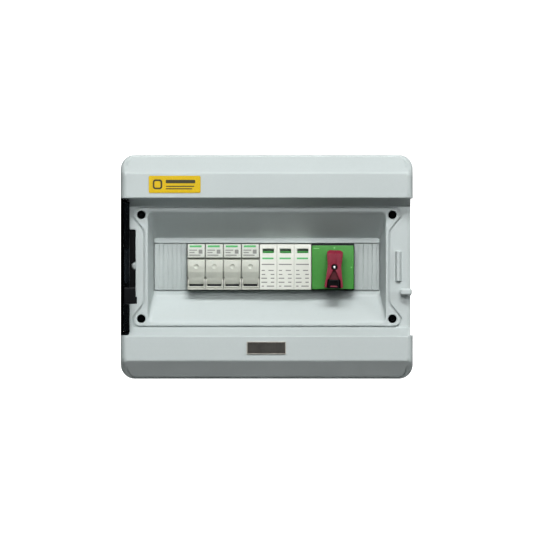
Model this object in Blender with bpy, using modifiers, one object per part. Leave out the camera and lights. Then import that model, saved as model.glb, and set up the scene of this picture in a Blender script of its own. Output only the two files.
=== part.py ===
"""DC combiner box: a wall-mounted plastic enclosure with a hinged clear door, four fuse holders, a
plug-in surge protector and a rotary isolator on a DIN rail.

Lengths below are millimetres, turned into metres where meshes are made. X runs to the right, Z up, and a
depth is counted from the wall towards the viewer, so a depth d lies at Y = -d. The origin is the middle of
the back face, which rests on the wall.
"""

import math

import bmesh
import bpy
from mathutils import Matrix, Vector

MM = 0.001
GAP = 0.3  # left between pieces that touch
OVER = 2.0  # how far a cutter runs past the surface it opens
SHARP_ANGLE = math.radians(35)  # edges flatter than this are shaded smooth

# Enclosure, seen from the front
BOX_WIDTH, BOX_HEIGHT = 292.0, 224.0
CORNER_RADIUS = 14.0
SIDE_FILLET = 6.0  # on the upright front edges
BAND_INNER = 69.0  # half height of the recess between the two bands, at the front
BAND_CREASE = 94.0  # half height where the flat front of a band meets its sloping edge
PANEL_HALF_HEIGHT = 60.5
PANEL_RIGHT = 143.7
INSET_HALF_HEIGHT = 68.4  # the right side is stepped in beside the recess
NOTCH_LEFT = -137.5  # the hinge stands to the left of this

# Enclosure, depths from the wall
BASE_RIM = 58.5
COVER_REAR = 60.0
WINDOW_DEPTH = 69.0
PANEL_DEPTH = 95.0
FRONT_DEPTH = 114.0
EDGE_DEPTH = 97.0  # where a band's sloping edge meets its outer skirt
WALL = 2.5
RECESS_SLOPE = (BAND_INNER - PANEL_HALF_HEIGHT) / (FRONT_DEPTH - PANEL_DEPTH)
BASE_HALF_WIDTH, BASE_HALF_HEIGHT, BASE_WALL = 143.5, 110.5, 3.0

# Funnel from the panel down to the window that the devices look through
FUNNEL_HALF = (119.0, 55.2)
WINDOW_EDGE_HALF = (113.3, 29.0)
WINDOW_HALF = (112.8, 23.5)
FUNNEL_WALL = (2.7, 3.6)

SCREW_AT = (125.7, 52.0)
BOSS_RADIUS = 7.4
COUNTERBORE_RADIUS, COUNTERBORE_FLOOR = 4.1, 66.0

# Hinge and door
HINGE_X, HINGE_DEPTH = -141.5, 109.5
BARREL_RADIUS, ROD_RADIUS = 4.5, 3.9
PIN_RADIUS, PIN_BORE = 1.5, 1.8
KNUCKLE = (-15.8, 18.0)  # heights of the door's own knuckle
BARREL_LOW, BARREL_HIGH = (-36.6, -16.4), (18.6, 37.9)
DOOR_LEFT, DOOR_RIGHT = -136.4, 146.1
DOOR_PANE, DOOR_SKIRT, DOOR_CLEARANCE = 2.5, 2.2, 1.0
DOOR_REAR = 105.6  # its lips reach this far back
DOOR_OPENING = 89.6  # degrees from closed, as it stands

# DIN rail and the devices on it
RAIL_DEPTH = 23.0
SHOULDER = 64.0
BODY_BACK = 19.5
BODY_HALF_HEIGHT = 41.0
NOSE_HALF_HEIGHT = 22.7
TERMINAL_DEPTH = 50.0
FUSE_PITCH, FUSE_LEFT, FUSE_COUNT = 18.08, -79.7, 4
FUSE_WIDTH = 17.5
CARRIER_PIVOT = (77.0, -15.5)  # depth and height
LINK_DEPTH, LINK_RADIUS, LINK_LENGTH, LINK_BOTTOM = 62.0, 5.15, 38.0, -20.5
SPD_PITCH, SPD_LEFT, SPD_COUNT = 17.27, -7.2, 3
SPD_FRONT = 83.5
SWITCH_LEFT, SWITCH_RIGHT = 45.0, 87.2
HANDLE_X, HANDLE_Z = 67.7, -0.4

parts = bpy.data.collections.new("dc_combiner_box")
cutters = bpy.data.collections.new("cutters")


def clear_scene():
    for old in list(bpy.data.objects):
        bpy.data.objects.remove(old, do_unlink=True)
    bpy.context.scene.collection.children.link(parts)
    bpy.context.scene.collection.children.link(cutters)


def plastic(name, colour, roughness=0.45, metallic=0.0, alpha=1.0):
    made = bpy.data.materials.new(name)
    made.use_nodes = True
    shader = made.node_tree.nodes["Principled BSDF"]
    shader.inputs["Base Color"].default_value = (*colour, 1.0)
    shader.inputs["Roughness"].default_value = roughness
    shader.inputs["Metallic"].default_value = metallic
    shader.inputs["Alpha"].default_value = alpha
    return made


# Solids. Each function returns a loose object in world axes, which becomes a part, a cutter or an addition.


def from_bmesh(name, shape):
    bmesh.ops.recalc_face_normals(shape, faces=shape.faces)
    mesh = bpy.data.meshes.new(name)
    shape.to_mesh(mesh)
    shape.free()
    return bpy.data.objects.new(name, mesh)


def tapered(name, half_or_range_front, front, half_or_range_back, back):
    """A block whose X and Z ranges differ between its front and back depths. Ranges are (x0, x1, z0, z1)."""
    shape = bmesh.new()
    bmesh.ops.create_cube(shape, size=1.0)
    for vertex in shape.verts:
        ranges, depth = (half_or_range_front, front) if vertex.co.y < 0 else (half_or_range_back, back)
        x = ranges[1] if vertex.co.x > 0 else ranges[0]
        z = ranges[3] if vertex.co.z > 0 else ranges[2]
        vertex.co = Vector((x, -depth, z)) * MM
    return from_bmesh(name, shape)


def block(name, x, depth, z, bevel=0.0, segments=2):
    """A box between the given ranges, with every edge rounded if bevel is given."""
    ranges = (x[0], x[1], z[0], z[1])
    made = tapered(name, ranges, depth[1], ranges, depth[0])
    if bevel:
        shape = bmesh.new()
        shape.from_mesh(made.data)
        bmesh.ops.bevel(
            shape, geom=shape.edges[:], offset=bevel * MM, segments=segments, affect="EDGES", profile=0.5
        )
        shape.to_mesh(made.data)
        shape.free()
    return made


def rounded_block(name, x, depth, z, radius, segments=6):
    """A box whose four edges along the depth are rounded."""
    made = block(name, x, depth, z)
    shape = bmesh.new()
    shape.from_mesh(made.data)
    along = [e for e in shape.edges if abs((e.verts[0].co - e.verts[1].co).normalized().y) > 0.9]
    bmesh.ops.bevel(shape, geom=along, offset=radius * MM, segments=segments, affect="EDGES", profile=0.5)
    shape.to_mesh(made.data)
    shape.free()
    return made


def cylinder(name, centre, axis, radius, length, segments=24):
    """A cylinder with its middle at centre, given as (x, depth, z)."""
    shape = bmesh.new()
    turn = Vector((0, 0, 1)).rotation_difference(Vector(axis)).to_matrix().to_4x4()
    place = Matrix.Translation(Vector((centre[0], -centre[1], centre[2])) * MM) @ turn
    bmesh.ops.create_cone(
        shape,
        cap_ends=True,
        segments=segments,
        radius1=radius * MM,
        radius2=radius * MM,
        depth=length * MM,
        matrix=place,
    )
    return from_bmesh(name, shape)


def outline_mesh(name, outline, thickness, matrix):
    """A flat closed outline, filled and given its thickness, then carried by matrix."""
    curve = bpy.data.curves.new(name, "CURVE")
    curve.dimensions = "2D"
    curve.fill_mode = "BOTH"
    curve.extrude = thickness / 2 * MM
    spline = curve.splines.new("POLY")
    spline.points.add(len(outline) - 1)
    for point, (u, v) in zip(spline.points, outline):
        point.co = (u * MM, v * MM, 0.0, 1.0)
    spline.use_cyclic_u = True
    drawn = bpy.data.objects.new(name, curve)
    parts.objects.link(drawn)
    mesh = bpy.data.meshes.new_from_object(drawn.evaluated_get(bpy.context.evaluated_depsgraph_get()))
    bpy.data.objects.remove(drawn)
    shape = bmesh.new()
    shape.from_mesh(mesh)
    bmesh.ops.remove_doubles(shape, verts=shape.verts, dist=1e-6)
    bmesh.ops.transform(shape, matrix=matrix, verts=shape.verts)
    return from_bmesh(name, shape)


def side_profile(name, outline, x):
    """An outline of (depth, height) points, extruded between two X values."""
    middle = Matrix.Translation(Vector(((x[0] + x[1]) / 2, 0, 0)) * MM)
    to_world = Matrix(((0, 0, 1, 0), (-1, 0, 0, 0), (0, 1, 0, 0), (0, 0, 0, 1)))
    return outline_mesh(name, outline, x[1] - x[0], middle @ to_world)


def front_profile(name, outline, depth):
    """An outline of (x, z) points, extruded between two depths."""
    middle = Matrix.Translation(Vector((0, -(depth[0] + depth[1]) / 2, 0)) * MM)
    to_world = Matrix(((1, 0, 0, 0), (0, 0, -1, 0), (0, 1, 0, 0), (0, 0, 0, 1)))
    return outline_mesh(name, outline, depth[1] - depth[0], middle @ to_world)


def plan_profile(name, outline, z):
    """An outline of (x, depth) points, extruded between two heights."""
    middle = Matrix.Translation(Vector((0, 0, (z[0] + z[1]) / 2)) * MM)
    to_world = Matrix(((1, 0, 0, 0), (0, -1, 0, 0), (0, 0, 1, 0), (0, 0, 0, 1)))
    return outline_mesh(name, outline, z[1] - z[0], middle @ to_world)


def turned(name, profile, centre, axis, steps=20):
    """A profile of (radius, height) points, from its top down, turned about axis through centre."""
    mesh = bpy.data.meshes.new(name)
    points = [(r * MM, 0, h * MM) for r, h in profile]
    edges = [(i, i + 1) for i in range(len(profile) - 1)]
    mesh.from_pydata(points, edges, [])
    made = bpy.data.objects.new(name, mesh)
    screw = made.modifiers.new("turn", "SCREW")
    screw.steps = screw.render_steps = steps
    screw.use_merge_vertices = True
    screw.merge_threshold = 1e-6
    turn = Vector((0, 0, 1)).rotation_difference(Vector(axis)).to_matrix().to_4x4()
    made.matrix_world = Matrix.Translation(Vector((centre[0], -centre[1], centre[2])) * MM) @ turn
    return made


def tube(name, points, radius, closed=False, sides=2):
    """A round rod along points of (x, depth, z), as a welded mesh."""
    curve = bpy.data.curves.new(name, "CURVE")
    curve.dimensions = "3D"
    curve.bevel_depth = radius * MM
    curve.bevel_resolution = sides
    curve.use_fill_caps = not closed
    spline = curve.splines.new("POLY")
    spline.points.add(len(points) - 1)
    for point, (x, depth, z) in zip(spline.points, points):
        point.co = (x * MM, -depth * MM, z * MM, 1.0)
    spline.use_cyclic_u = closed
    drawn = bpy.data.objects.new(name, curve)
    parts.objects.link(drawn)
    mesh = bpy.data.meshes.new_from_object(drawn.evaluated_get(bpy.context.evaluated_depsgraph_get()))
    bpy.data.objects.remove(drawn)
    shape = bmesh.new()
    shape.from_mesh(mesh)
    bmesh.ops.remove_doubles(shape, verts=shape.verts, dist=1e-6)
    return from_bmesh(name, shape)


def arc(centre, radius, start, end, steps):
    """Points on a circle in a plane, from start to end degrees."""
    angles = [math.radians(start + (end - start) * i / steps) for i in range(steps + 1)]
    return [(centre[0] + radius * math.cos(a), centre[1] + radius * math.sin(a)) for a in angles]


# Joining, cutting and naming


def combine(target, tool, operation):
    tool.hide_render = True
    tool.display_type = "WIRE"
    cutters.objects.link(tool)
    change = target.modifiers.new(tool.name, "BOOLEAN")
    change.operation = operation
    change.object = tool
    return target


def cut(target, *tools):
    for tool in tools:
        combine(target, tool, "DIFFERENCE")
    return target


def add(target, *tools):
    for tool in tools:
        combine(target, tool, "UNION")
    return target


def finish(made, name, material):
    made.name = name
    parts.objects.link(made)
    made.data.materials.clear()
    made.data.materials.append(material)
    made.data.shade_smooth()
    made.data.set_sharp_from_angle(angle=SHARP_ANGLE)
    return made


def hang_on(empty, *pieces):
    """Puts pieces, modelled in world axes about the origin, onto an empty, with their origins on its axis."""
    back = Matrix.Translation(-empty.location)
    for piece in pieces:
        for shape in {piece, *[m.object for m in piece.modifiers if m.type == "BOOLEAN"]}:
            shape.data.transform(back)
            shape.parent = empty


def axis_empty(name, x, depth, z):
    made = bpy.data.objects.new(name, None)
    made.location = Vector((x, -depth, z)) * MM
    parts.objects.link(made)
    return made


# Enclosure


def recess_half_height(depth):
    return PANEL_HALF_HEIGHT + (depth - PANEL_DEPTH) * RECESS_SLOPE


def recess_prism(name, depths, x, shrink=0.0):
    rear, front = depths
    low, high = recess_half_height(rear) - shrink, recess_half_height(front) - shrink
    return side_profile(name, [(front, high), (rear, low), (rear, -low), (front, -high)], x)


def groove_outline():
    """The seal groove round the panel's raised middle, with an ear round each screw."""
    x, z = SCREW_AT
    radius, side = 7.2, 122.6
    quarter = [
        *arc((x, z), radius, 90, -35, 8),
        (side + 1.6, 37.5),
        (side, 33.0),
    ]
    right = quarter + [(px, -pz) for px, pz in reversed(quarter)]
    left = [(-px, -pz) for px, pz in right]
    return right + left


def hinge_dome(name, radius, depths):
    return cylinder(name, (-131.3, sum(depths) / 2, 0.8), (0, 1, 0), radius, depths[1] - depths[0], 20)


def screw_posts(name, radius, depths, segments=16):
    x, z = SCREW_AT
    middle, length = sum(depths) / 2, depths[1] - depths[0]
    return [
        cylinder(f"{name}_{i}", (sx * x, middle, sz * z), (0, 1, 0), radius, length, segments)
        for i, (sx, sz) in enumerate(((-1, 1), (1, 1), (-1, -1), (1, -1)))
    ]


def cover_cavity():
    """The space inside the cover, round the outside of the funnel and the screw bosses."""
    inner_x, inner_z = BOX_WIDTH / 2 - 5, BOX_HEIGHT / 2 - 5
    space = rounded_block(
        "cover_space", (-inner_x, inner_x), (COVER_REAR - OVER, PANEL_DEPTH - WALL), (-inner_z, inner_z), 9
    )
    wx, wz = WINDOW_EDGE_HALF[0] + FUNNEL_WALL[0], WINDOW_EDGE_HALF[1] + 1.2
    fx, fz = FUNNEL_HALF[0] + FUNNEL_WALL[0], FUNNEL_HALF[1] + FUNNEL_WALL[1]
    funnel = tapered(
        "funnel_outside", (-fx, fx, -fz, fz), PANEL_DEPTH, (-wx, wx, -wz, wz), WINDOW_DEPTH - WALL
    )
    hinge_wall = block("hinge_wall", (-150, -128.8), (83.5, PANEL_DEPTH + 1), (-63, 63))
    return cut(space, funnel, hinge_wall, *screw_posts("boss", BOSS_RADIUS, (COVER_REAR - 3, PANEL_DEPTH)))


def band_cavity(name, side):
    """The space behind one band. side is 1 for the top and -1 for the bottom."""
    deep, skirt = FRONT_DEPTH - WALL, BOX_HEIGHT / 2 - 3
    outline = [
        (80, skirt),
        (EDGE_DEPTH - 1.3, skirt),
        (deep, BAND_CREASE - 1),
        (deep, recess_half_height(deep) + 2.7),
        (PANEL_DEPTH - WALL, recess_half_height(PANEL_DEPTH - WALL) + 2.7),
        (80, recess_half_height(PANEL_DEPTH - WALL) + 2.7),
    ]
    half_x = BOX_WIDTH / 2 - 5
    space = side_profile(name, [(d, side * z) for d, z in outline], (-half_x, half_x))
    across = (-half_x, half_x)
    upright = (-skirt, skirt)
    corners = rounded_block(f"{name}_corners", across, (70, 120), upright, CORNER_RADIUS - 5, 7)
    return combine(space, corners, "INTERSECT")


def edge_wedge(name, side):
    """What a band's sloping outer edge takes off the box."""
    rise = (BOX_HEIGHT / 2 - 0.8 - BAND_CREASE) / (FRONT_DEPTH - EDGE_DEPTH)
    far, near = FRONT_DEPTH + OVER, EDGE_DEPTH - 9
    line = [(far, BAND_CREASE - OVER * rise), (near, BAND_CREASE + (FRONT_DEPTH - near) * rise)]
    outline = [line[0], (far, 130), (near, 130), line[1]]
    return side_profile(name, [(d, side * z) for d, z in outline], (-150, 150))


def front_cover(material):
    half_x, half_z = BOX_WIDTH / 2, BOX_HEIGHT / 2
    cover = rounded_block(
        "front_cover", (-half_x, half_x), (COVER_REAR, FRONT_DEPTH), (-half_z, half_z), CORNER_RADIUS, 7
    )
    centre_x, centre_depth = half_x - SIDE_FILLET, FRONT_DEPTH - SIDE_FILLET
    right = arc((centre_x, centre_depth), SIDE_FILLET, 0, 90, 5)
    left = [(-x, d) for x, d in reversed(right)]
    plan = [(half_x, COVER_REAR - 1), *right, *left, (-half_x, COVER_REAR - 1)]
    combine(cover, plan_profile("side_fillets", plan, (-half_z - 1, half_z + 1)), "INTERSECT")
    cut(cover, edge_wedge("wedge_top", 1), edge_wedge("wedge_bottom", -1))
    cut(cover, recess_prism("recess", (PANEL_DEPTH, FRONT_DEPTH + OVER), (-150, 150)))
    cut(cover, recess_prism("hinge_notch", (88.0, PANEL_DEPTH + 0.5), (-150, NOTCH_LEFT)))
    inset_z = (-INSET_HALF_HEIGHT, INSET_HALF_HEIGHT)
    cut(cover, block("right_inset", (PANEL_RIGHT, 150), (COVER_REAR - OVER, FRONT_DEPTH + OVER), inset_z))
    cut(cover, cover_cavity(), band_cavity("band_space_top", 1), band_cavity("band_space_bottom", -1))
    slope_x = (FUNNEL_HALF[0] - WINDOW_EDGE_HALF[0]) / (PANEL_DEPTH - WINDOW_DEPTH)
    slope_z = (FUNNEL_HALF[1] - WINDOW_EDGE_HALF[1]) / (PANEL_DEPTH - WINDOW_DEPTH)
    fx, fz = FUNNEL_HALF[0] + slope_x, FUNNEL_HALF[1] + slope_z
    wx, wz = WINDOW_EDGE_HALF
    mouth = (-fx, fx, -fz, fz)
    foot = (-wx, wx, -wz, wz)
    cut(cover, tapered("funnel_inside", mouth, PANEL_DEPTH + 1, foot, WINDOW_DEPTH))
    wx, wz = WINDOW_HALF
    cut(cover, block("window", (-wx, wx), (WINDOW_DEPTH - 6, WINDOW_DEPTH + 1), (-wz, wz)))
    cut(cover, block("hinge_pocket", (-139, -131.3), (86, 97), (-36.8, 37.4)))
    cut(cover, *screw_posts("counterbore", COUNTERBORE_RADIUS, (COUNTERBORE_FLOOR, PANEL_DEPTH + OVER), 20))
    cut(cover, *screw_posts("screw_way", 2.4, (COVER_REAR - 4, COUNTERBORE_FLOOR + 1), 12))
    ring = [(x, PANEL_DEPTH, z) for x, z in groove_outline()]
    cut(cover, tube("seal_groove", ring, 0.9, closed=True, sides=1))
    add(cover, hinge_dome("dome", 4.2, (85, 94)))
    bar_ends = (130.3, 133.0, -14.4, 15.2), (128.3, 135.0, -15.4, 16.0)
    add(cover, tapered("catch_bar", bar_ends[0], 98.6, bar_ends[1], PANEL_DEPTH - 1))
    add(cover, block("catch_stem", (133.5, 139.2), (PANEL_DEPTH - 1, 102.5), (-28.6, -22.4), 0.5, 1))
    add(cover, block("catch_head", (133.2, 145.2), (101.5, 104.8), (-28.8, -22.2), 0.8))
    return finish(cover, "front_cover", material)


def knockout(name, x, side):
    """A blind disc that a cable gland's hole is broken out of."""
    return cylinder(name, (x, 30, side * (BASE_HALF_HEIGHT - 0.2)), (0, 0, 1), 11.5, 3.0, 24)


def rear_base(material):
    half_x, half_z = BASE_HALF_WIDTH, BASE_HALF_HEIGHT
    base = rounded_block("rear_base", (-half_x, half_x), (0, BASE_RIM), (-half_z, half_z), 12)
    in_x, in_z = half_x - BASE_WALL, half_z - BASE_WALL
    cut(base, rounded_block("base_space", (-in_x, in_x), (3, BASE_RIM + OVER), (-in_z, in_z), 9))
    add(base, *screw_posts("post", 5.6, (2, BASE_RIM - 0.5)))
    cut(base, *screw_posts("pilot", 2.3, (30, BASE_RIM + OVER), 12))
    for side in (-1, 1):
        add(base, block(f"rail_rest_{side}", (side * 105 - 8, side * 105 + 8), (2, 15.2), (-14, 14)))
        cut(base, cylinder(f"rail_pilot_{side}", (side * 105, 12, 0), (0, 1, 0), 2.1, 12, 12))
    for x in (-90, -30, 30, 90):
        cut(base, knockout(f"knockout_low_{x}", x, -1), knockout(f"knockout_top_{x}", x, 1))
    for i, (sx, sz) in enumerate(((-1, 1), (1, 1), (-1, -1), (1, -1))):
        cut(base, cylinder(f"wall_hole_{i}", (sx * 128, 2, sz * 92), (0, 1, 0), 2.75, 12, 16))
    for x in (68, 102):
        add(base, block(f"earth_rest_{x}", (x - 4, x + 4), (2, 9.6), (-91, -83)))
    return finish(base, "rear_base", material)


def base_gasket(material):
    outer_x, outer_z = BASE_HALF_WIDTH - 0.4, BASE_HALF_HEIGHT - 0.4
    depths = (BASE_RIM + GAP, COVER_REAR - GAP)
    ring = rounded_block("base_gasket", (-outer_x, outer_x), depths, (-outer_z, outer_z), 11.6)
    in_x, in_z = outer_x - 2.2, outer_z - 2.2
    hole = rounded_block("gasket_hole", (-in_x, in_x), (depths[0] - 1, depths[1] + 1), (-in_z, in_z), 9.4)
    return finish(cut(ring, hole), "base_gasket", material)


def cover_screws(material):
    profile = [(0, 70.5), (3.0, 70.5), (3.6, 69.6), (3.6, 66.4), (2.0, 66.4), (2.0, 38.0), (0, 36.5)]
    x, z = SCREW_AT
    for i, (sx, sz) in enumerate(((-1, 1), (1, 1), (-1, -1), (1, -1)), start=1):
        screw = turned(f"cover_screw_{i}", profile, (sx * x, 0, sz * z), (0, -1, 0), 16)
        along = (sx * x - 2.6, sx * x + 2.6)
        slot = block(f"screw_slot_{i}", along, (69.4, 72), (sz * z - 0.5, sz * z + 0.5))
        finish(cut(screw, slot), f"cover_screw_{i}", material)


def labels(yellow, grey):
    depths = (FRONT_DEPTH + GAP, FRONT_DEPTH + 0.7)
    sticker = rounded_block("caution_label", (-118.0, -66.2), depths, (74.0, 91.0), 1.4, 3)
    finish(sticker, "caution_label", yellow)
    plate = rounded_block("name_plate", (-20.2, 19.2), (depths[0], depths[1] + 0.4), (-87.4, -74.7), 0.6, 2)
    finish(plate, "name_plate", grey)


def blank_plates(material):
    """Ribbed strips that close the window beside the devices, scored every half module."""
    for name, x0, x1 in (("blank_plate_left", -112.5, -80.1), ("blank_plate_right", 87.6, 112.5)):
        plate = block(name, (x0, x1), (67.0, 70.4), (-23.2, 23.2))
        scores = int((x1 - x0) / 4.5)
        for i in range(1, scores + 1):
            x = x0 + i * 4.5
            cut(plate, block(f"{name}_score_{i}", (x - 0.25, x + 0.25), (70.0, 71.4), (-24, 24)))
        finish(plate, name, material)


# Hinge and door


def hinge_rod(name, radius, z, segments=20):
    return cylinder(name, (HINGE_X, HINGE_DEPTH, sum(z) / 2), (0, 0, 1), radius, z[1] - z[0], segments)


def hinge_base(black, steel):
    """The black strip that carries the pin, with two fixed barrels and a gap for the door's knuckle."""
    strip = hinge_rod("hinge_base", ROD_RADIUS, (-72, 72))
    add(strip, block("hinge_web", (-145.2, -138.2), (88.4, 108), (-72, 72)))
    barrels = [hinge_rod("barrel_low", BARREL_RADIUS, BARREL_LOW), hinge_rod("barrel_high", BARREL_RADIUS, BARREL_HIGH)]
    add(strip, *barrels)
    gap_z = (KNUCKLE[0] - 0.5, KNUCKLE[1] + 0.5)
    cut(strip, hinge_rod("knuckle_gap", BARREL_RADIUS + 0.8, gap_z))
    cut(strip, block("knuckle_way", (-150, -133), (HINGE_DEPTH - 2, 120), gap_z))
    combine(strip, recess_prism("strip_ends", (80, 130), (-150, -120), 0.5), "INTERSECT")
    leaf = block("hinge_leaf", (-139.5, -131.7), (88.4, 93.4), (-36.4, 37.0), 0.5, 1)
    add(strip, cut(leaf, hinge_dome("dome_way", 4.6, (80, 100))))
    cut(strip, hinge_rod("pin_way", PIN_BORE, (-46, 46), 14))
    finish(strip, "hinge_base", black)
    finish(hinge_rod("hinge_pin", PIN_RADIUS, (-44.5, 44.5), 14), "hinge_pin", steel)


def door_panel(clear):
    """A clear tray that lies in the recess, modelled closed. The latch rides in a notch of its free edge."""
    door = recess_prism("door_panel", (DOOR_REAR, FRONT_DEPTH), (DOOR_LEFT, DOOR_RIGHT), DOOR_CLEARANCE)
    rear, pane = DOOR_REAR - OVER, FRONT_DEPTH - DOOR_PANE
    inside = (DOOR_LEFT + DOOR_SKIRT, DOOR_RIGHT - DOOR_SKIRT)
    cut(door, recess_prism("door_space", (rear, pane), inside, DOOR_CLEARANCE + DOOR_SKIRT + 0.1))
    cut(door, block("arm_way", (-139, -133), (90, pane + 0.2), (KNUCKLE[0] - 0.7, KNUCKLE[1] + 0.7)))
    cut(door, block("latch_way", (142.5, 150), (90, 107.4), (-37.2, -21.8)))
    return finish(door, "door_panel", clear)


def door_knuckle(black):
    knuckle = hinge_rod("door_knuckle", BARREL_RADIUS, KNUCKLE)
    arm = block("knuckle_arm", (HINGE_X, -125.5), (108.2, FRONT_DEPTH - DOOR_PANE - GAP), KNUCKLE, 0.4, 1)
    cut(add(knuckle, arm), hinge_rod("knuckle_bore", PIN_BORE, (-46, 46), 14))
    return finish(knuckle, "door_knuckle", black)


def door_latch(black):
    """A slider on the door's free edge, held by a tongue through the notch. Its toe goes behind the catch."""
    slider = block("door_latch", (DOOR_RIGHT + GAP, 149.0), (99.7, 111.0), (-36.6, -20.6), 0.7, 2)
    add(slider, block("latch_web", (143.4, DOOR_RIGHT + 1), (98.4, 101.1), (-36.4, -29.6)))
    add(slider, block("latch_tongue", (141.8, DOOR_RIGHT + 1), (105.4, 107.0), (-36.2, -29.8)))
    add(slider, block("latch_flange", (141.4, 143.4), (105.4, 109.4), (-36.2, -29.8)))
    add(slider, block("latch_toe", (139.9, 143.8), (98.4, 101.1), (-36.4, -29.6)))
    for i in range(4):
        z = -35.2 + 3.6 * i
        add(slider, block(f"latch_grip_{i}", (148.5, 149.7), (101.5, 109.5), (z, z + 1.5)))
    return finish(slider, "door_latch", black)


def door(black, clear, steel):
    hinge_base(black, steel)
    hinge = axis_empty("door_hinge_axis", HINGE_X, HINGE_DEPTH, 0)
    hang_on(hinge, door_panel(clear), door_knuckle(black), door_latch(black))
    hinge.rotation_euler.z = -math.radians(DOOR_OPENING)


# Rail and devices


def din_rail(zinc, steel):
    """A 35 mm top-hat rail, with a screw at each end."""
    back, front = RAIL_DEPTH - 7.5, RAIL_DEPTH
    half = [(front, 17.5), (front, 12.5), (back + 1, 12.5), (back + 1, 0)]
    behind = [(back, 0), (back, 13.5), (front - 1, 13.5), (front - 1, 17.5)]
    outline = half[:-1] + [(d, -z) for d, z in reversed(half[:-1])]
    outline += [(d, -z) for d, z in reversed(behind[1:])] + behind[1:]
    rail = side_profile("din_rail", outline, (-114, 114))
    for side in (-1, 1):
        cut(rail, cylinder(f"rail_hole_{side}", (side * 105, back, 0), (0, 1, 0), 2.4, 8, 12))
    finish(rail, "din_rail", zinc)
    profile = [(0, 19.2), (2.6, 19.2), (3.8, 18.2), (3.8, 16.8), (1.8, 16.8), (1.8, 8.0), (0, 7.0)]
    for name, side in (("rail_screw_left", -1), ("rail_screw_right", 1)):
        screw = turned(name, profile, (side * 105, 0, 0), (0, -1, 0), 14)
        slot = block(f"{name}_slot", (side * 105 - 2.4, side * 105 + 2.4), (18.2, 21), (-0.45, 0.45))
        finish(cut(screw, slot), name, steel)


def shoulders():
    """The common (depth, height) outline of a device behind the window, from its top front corner round
    the back and the rail to its bottom front corner."""
    half = [
        (SHOULDER, BODY_HALF_HEIGHT),
        (BODY_BACK, BODY_HALF_HEIGHT),
        (BODY_BACK, 18.2),
        (RAIL_DEPTH + 0.4, 18.2),
    ]
    return half + [(d, -z) for d, z in reversed(half)]


def terminal_holes(target, name, x):
    """A wire entry and a screw well, above and below."""
    for side in (-1, 1):
        z = side * BODY_HALF_HEIGHT
        cut(target, cylinder(f"{name}_entry_{side}_{x:.0f}", (x, TERMINAL_DEPTH, z), (0, 0, 1), 3.0, 24, 12))
        mouth = (x, SHOULDER, side * 33.5)
        cut(target, cylinder(f"{name}_well_{side}_{x:.0f}", mouth, (0, 1, 0), 3.2, 16, 14))
    return target


def fuse_body(index, x, material):
    name = f"fuse_body_{index}"
    swing = arc(CARRIER_PIVOT, 5.4, 0, 56, 4)
    nose = [(SHOULDER, -22.9), (82.4, -22.9), *swing, (79.8, 22.4), (SHOULDER, 22.4)]
    half = FUSE_WIDTH / 2
    body = side_profile(name, shoulders() + nose, (x - half, x + half))
    cut(body, block(f"{name}_cavity", (x - 7.5, x + 7.5), (53.6, 90), (-21.3, 22.7)))
    pivot = cylinder(f"{name}_pivot", (x, *CARRIER_PIVOT), (1, 0, 0), 2.0, 30, 16)
    return finish(terminal_holes(cut(body, pivot), name, x), name, material)


def fuse_carrier(index, x, material):
    """The lever that swings the fuse out, with its two trunnions."""
    name = f"fuse_carrier_{index}"
    spine = [(72, 21.4), (80.5, 22.3), (80.5, -10.4), (82.8, -10.8), (81.2, -16.3)]
    spine += arc(CARRIER_PIVOT, 3.0, -30, -150, 5) + [(72, -9)]
    carrier = side_profile(name, spine, (x - 7.2, x + 7.2))
    lever = [(80.2, 22.9), (83.4, 22.9), (83.6, 9.6), (81.4, 8.8), (81.4, 7.5), (83.9, 6.7)]
    lever += [(84.6, 2.0), (84.7, -2.0), (84.2, -6.0), (83.0, -10.7), (80.2, -10.7)]
    half = FUSE_WIDTH / 2
    add(carrier, side_profile(f"{name}_lever", lever, (x - half, x + half)))
    for side in (-1, 1):
        thickness = sorted((x + side * 6.35, x + side * 7.1))
        add(carrier, block(f"{name}_cheek_{side}", thickness, (58, 74), (-9, 9)))
    add(carrier, block(f"{name}_saddle", (x - 6.7, x + 6.7), (67.5, 74), (-6, 6)))
    add(carrier, cylinder(f"{name}_trunnion", (x, *CARRIER_PIVOT), (1, 0, 0), 1.6, 16.8, 16))
    dimple = cylinder(f"{name}_dimple", (x, 86.4, 0.45), (0, 1, 0), 2.9, 6, 16)
    return finish(cut(carrier, dimple), name, material)


def fuse_link(index, x, material):
    """A 10 by 38 mm cartridge: a ceramic barrel between two caps."""
    top, cap, barrel = LINK_LENGTH, 10.0, LINK_RADIUS - 0.25
    profile = [(0, top), (LINK_RADIUS - 0.6, top), (LINK_RADIUS, top - 0.6), (LINK_RADIUS, top - cap)]
    profile += [(barrel, top - cap), (barrel, cap)]
    profile += [(LINK_RADIUS, cap), (LINK_RADIUS, 0.6), (LINK_RADIUS - 0.6, 0)]
    link = turned(f"fuse_link_{index}", profile + [(0, 0)], (x, LINK_DEPTH, LINK_BOTTOM), (0, 0, 1), 18)
    return finish(link, f"fuse_link_{index}", material)


def fuse_clips(index, x, material):
    """A sprung fork at each end of the fuse."""
    for name, z in (("top", (10.0, 16.6)), ("bottom", (-19.8, -13.2))):
        fork = [(-6.0, 54.2), (6.0, 54.2), (6.0, 64.0), (5.45, 64.0), (5.45, 55.0), (-5.45, 55.0)]
        fork += [(-5.45, 64.0), (-6.0, 64.0)]
        to_world = Matrix.Translation(Vector((x, 0, sum(z) / 2)) * MM) @ Matrix.Scale(-1, 4, (0, 1, 0))
        clip = outline_mesh(f"clip_{name}_{index}", fork, z[1] - z[0], to_world)
        finish(clip, f"fuse_clip_{name}_{index}", material)


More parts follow.
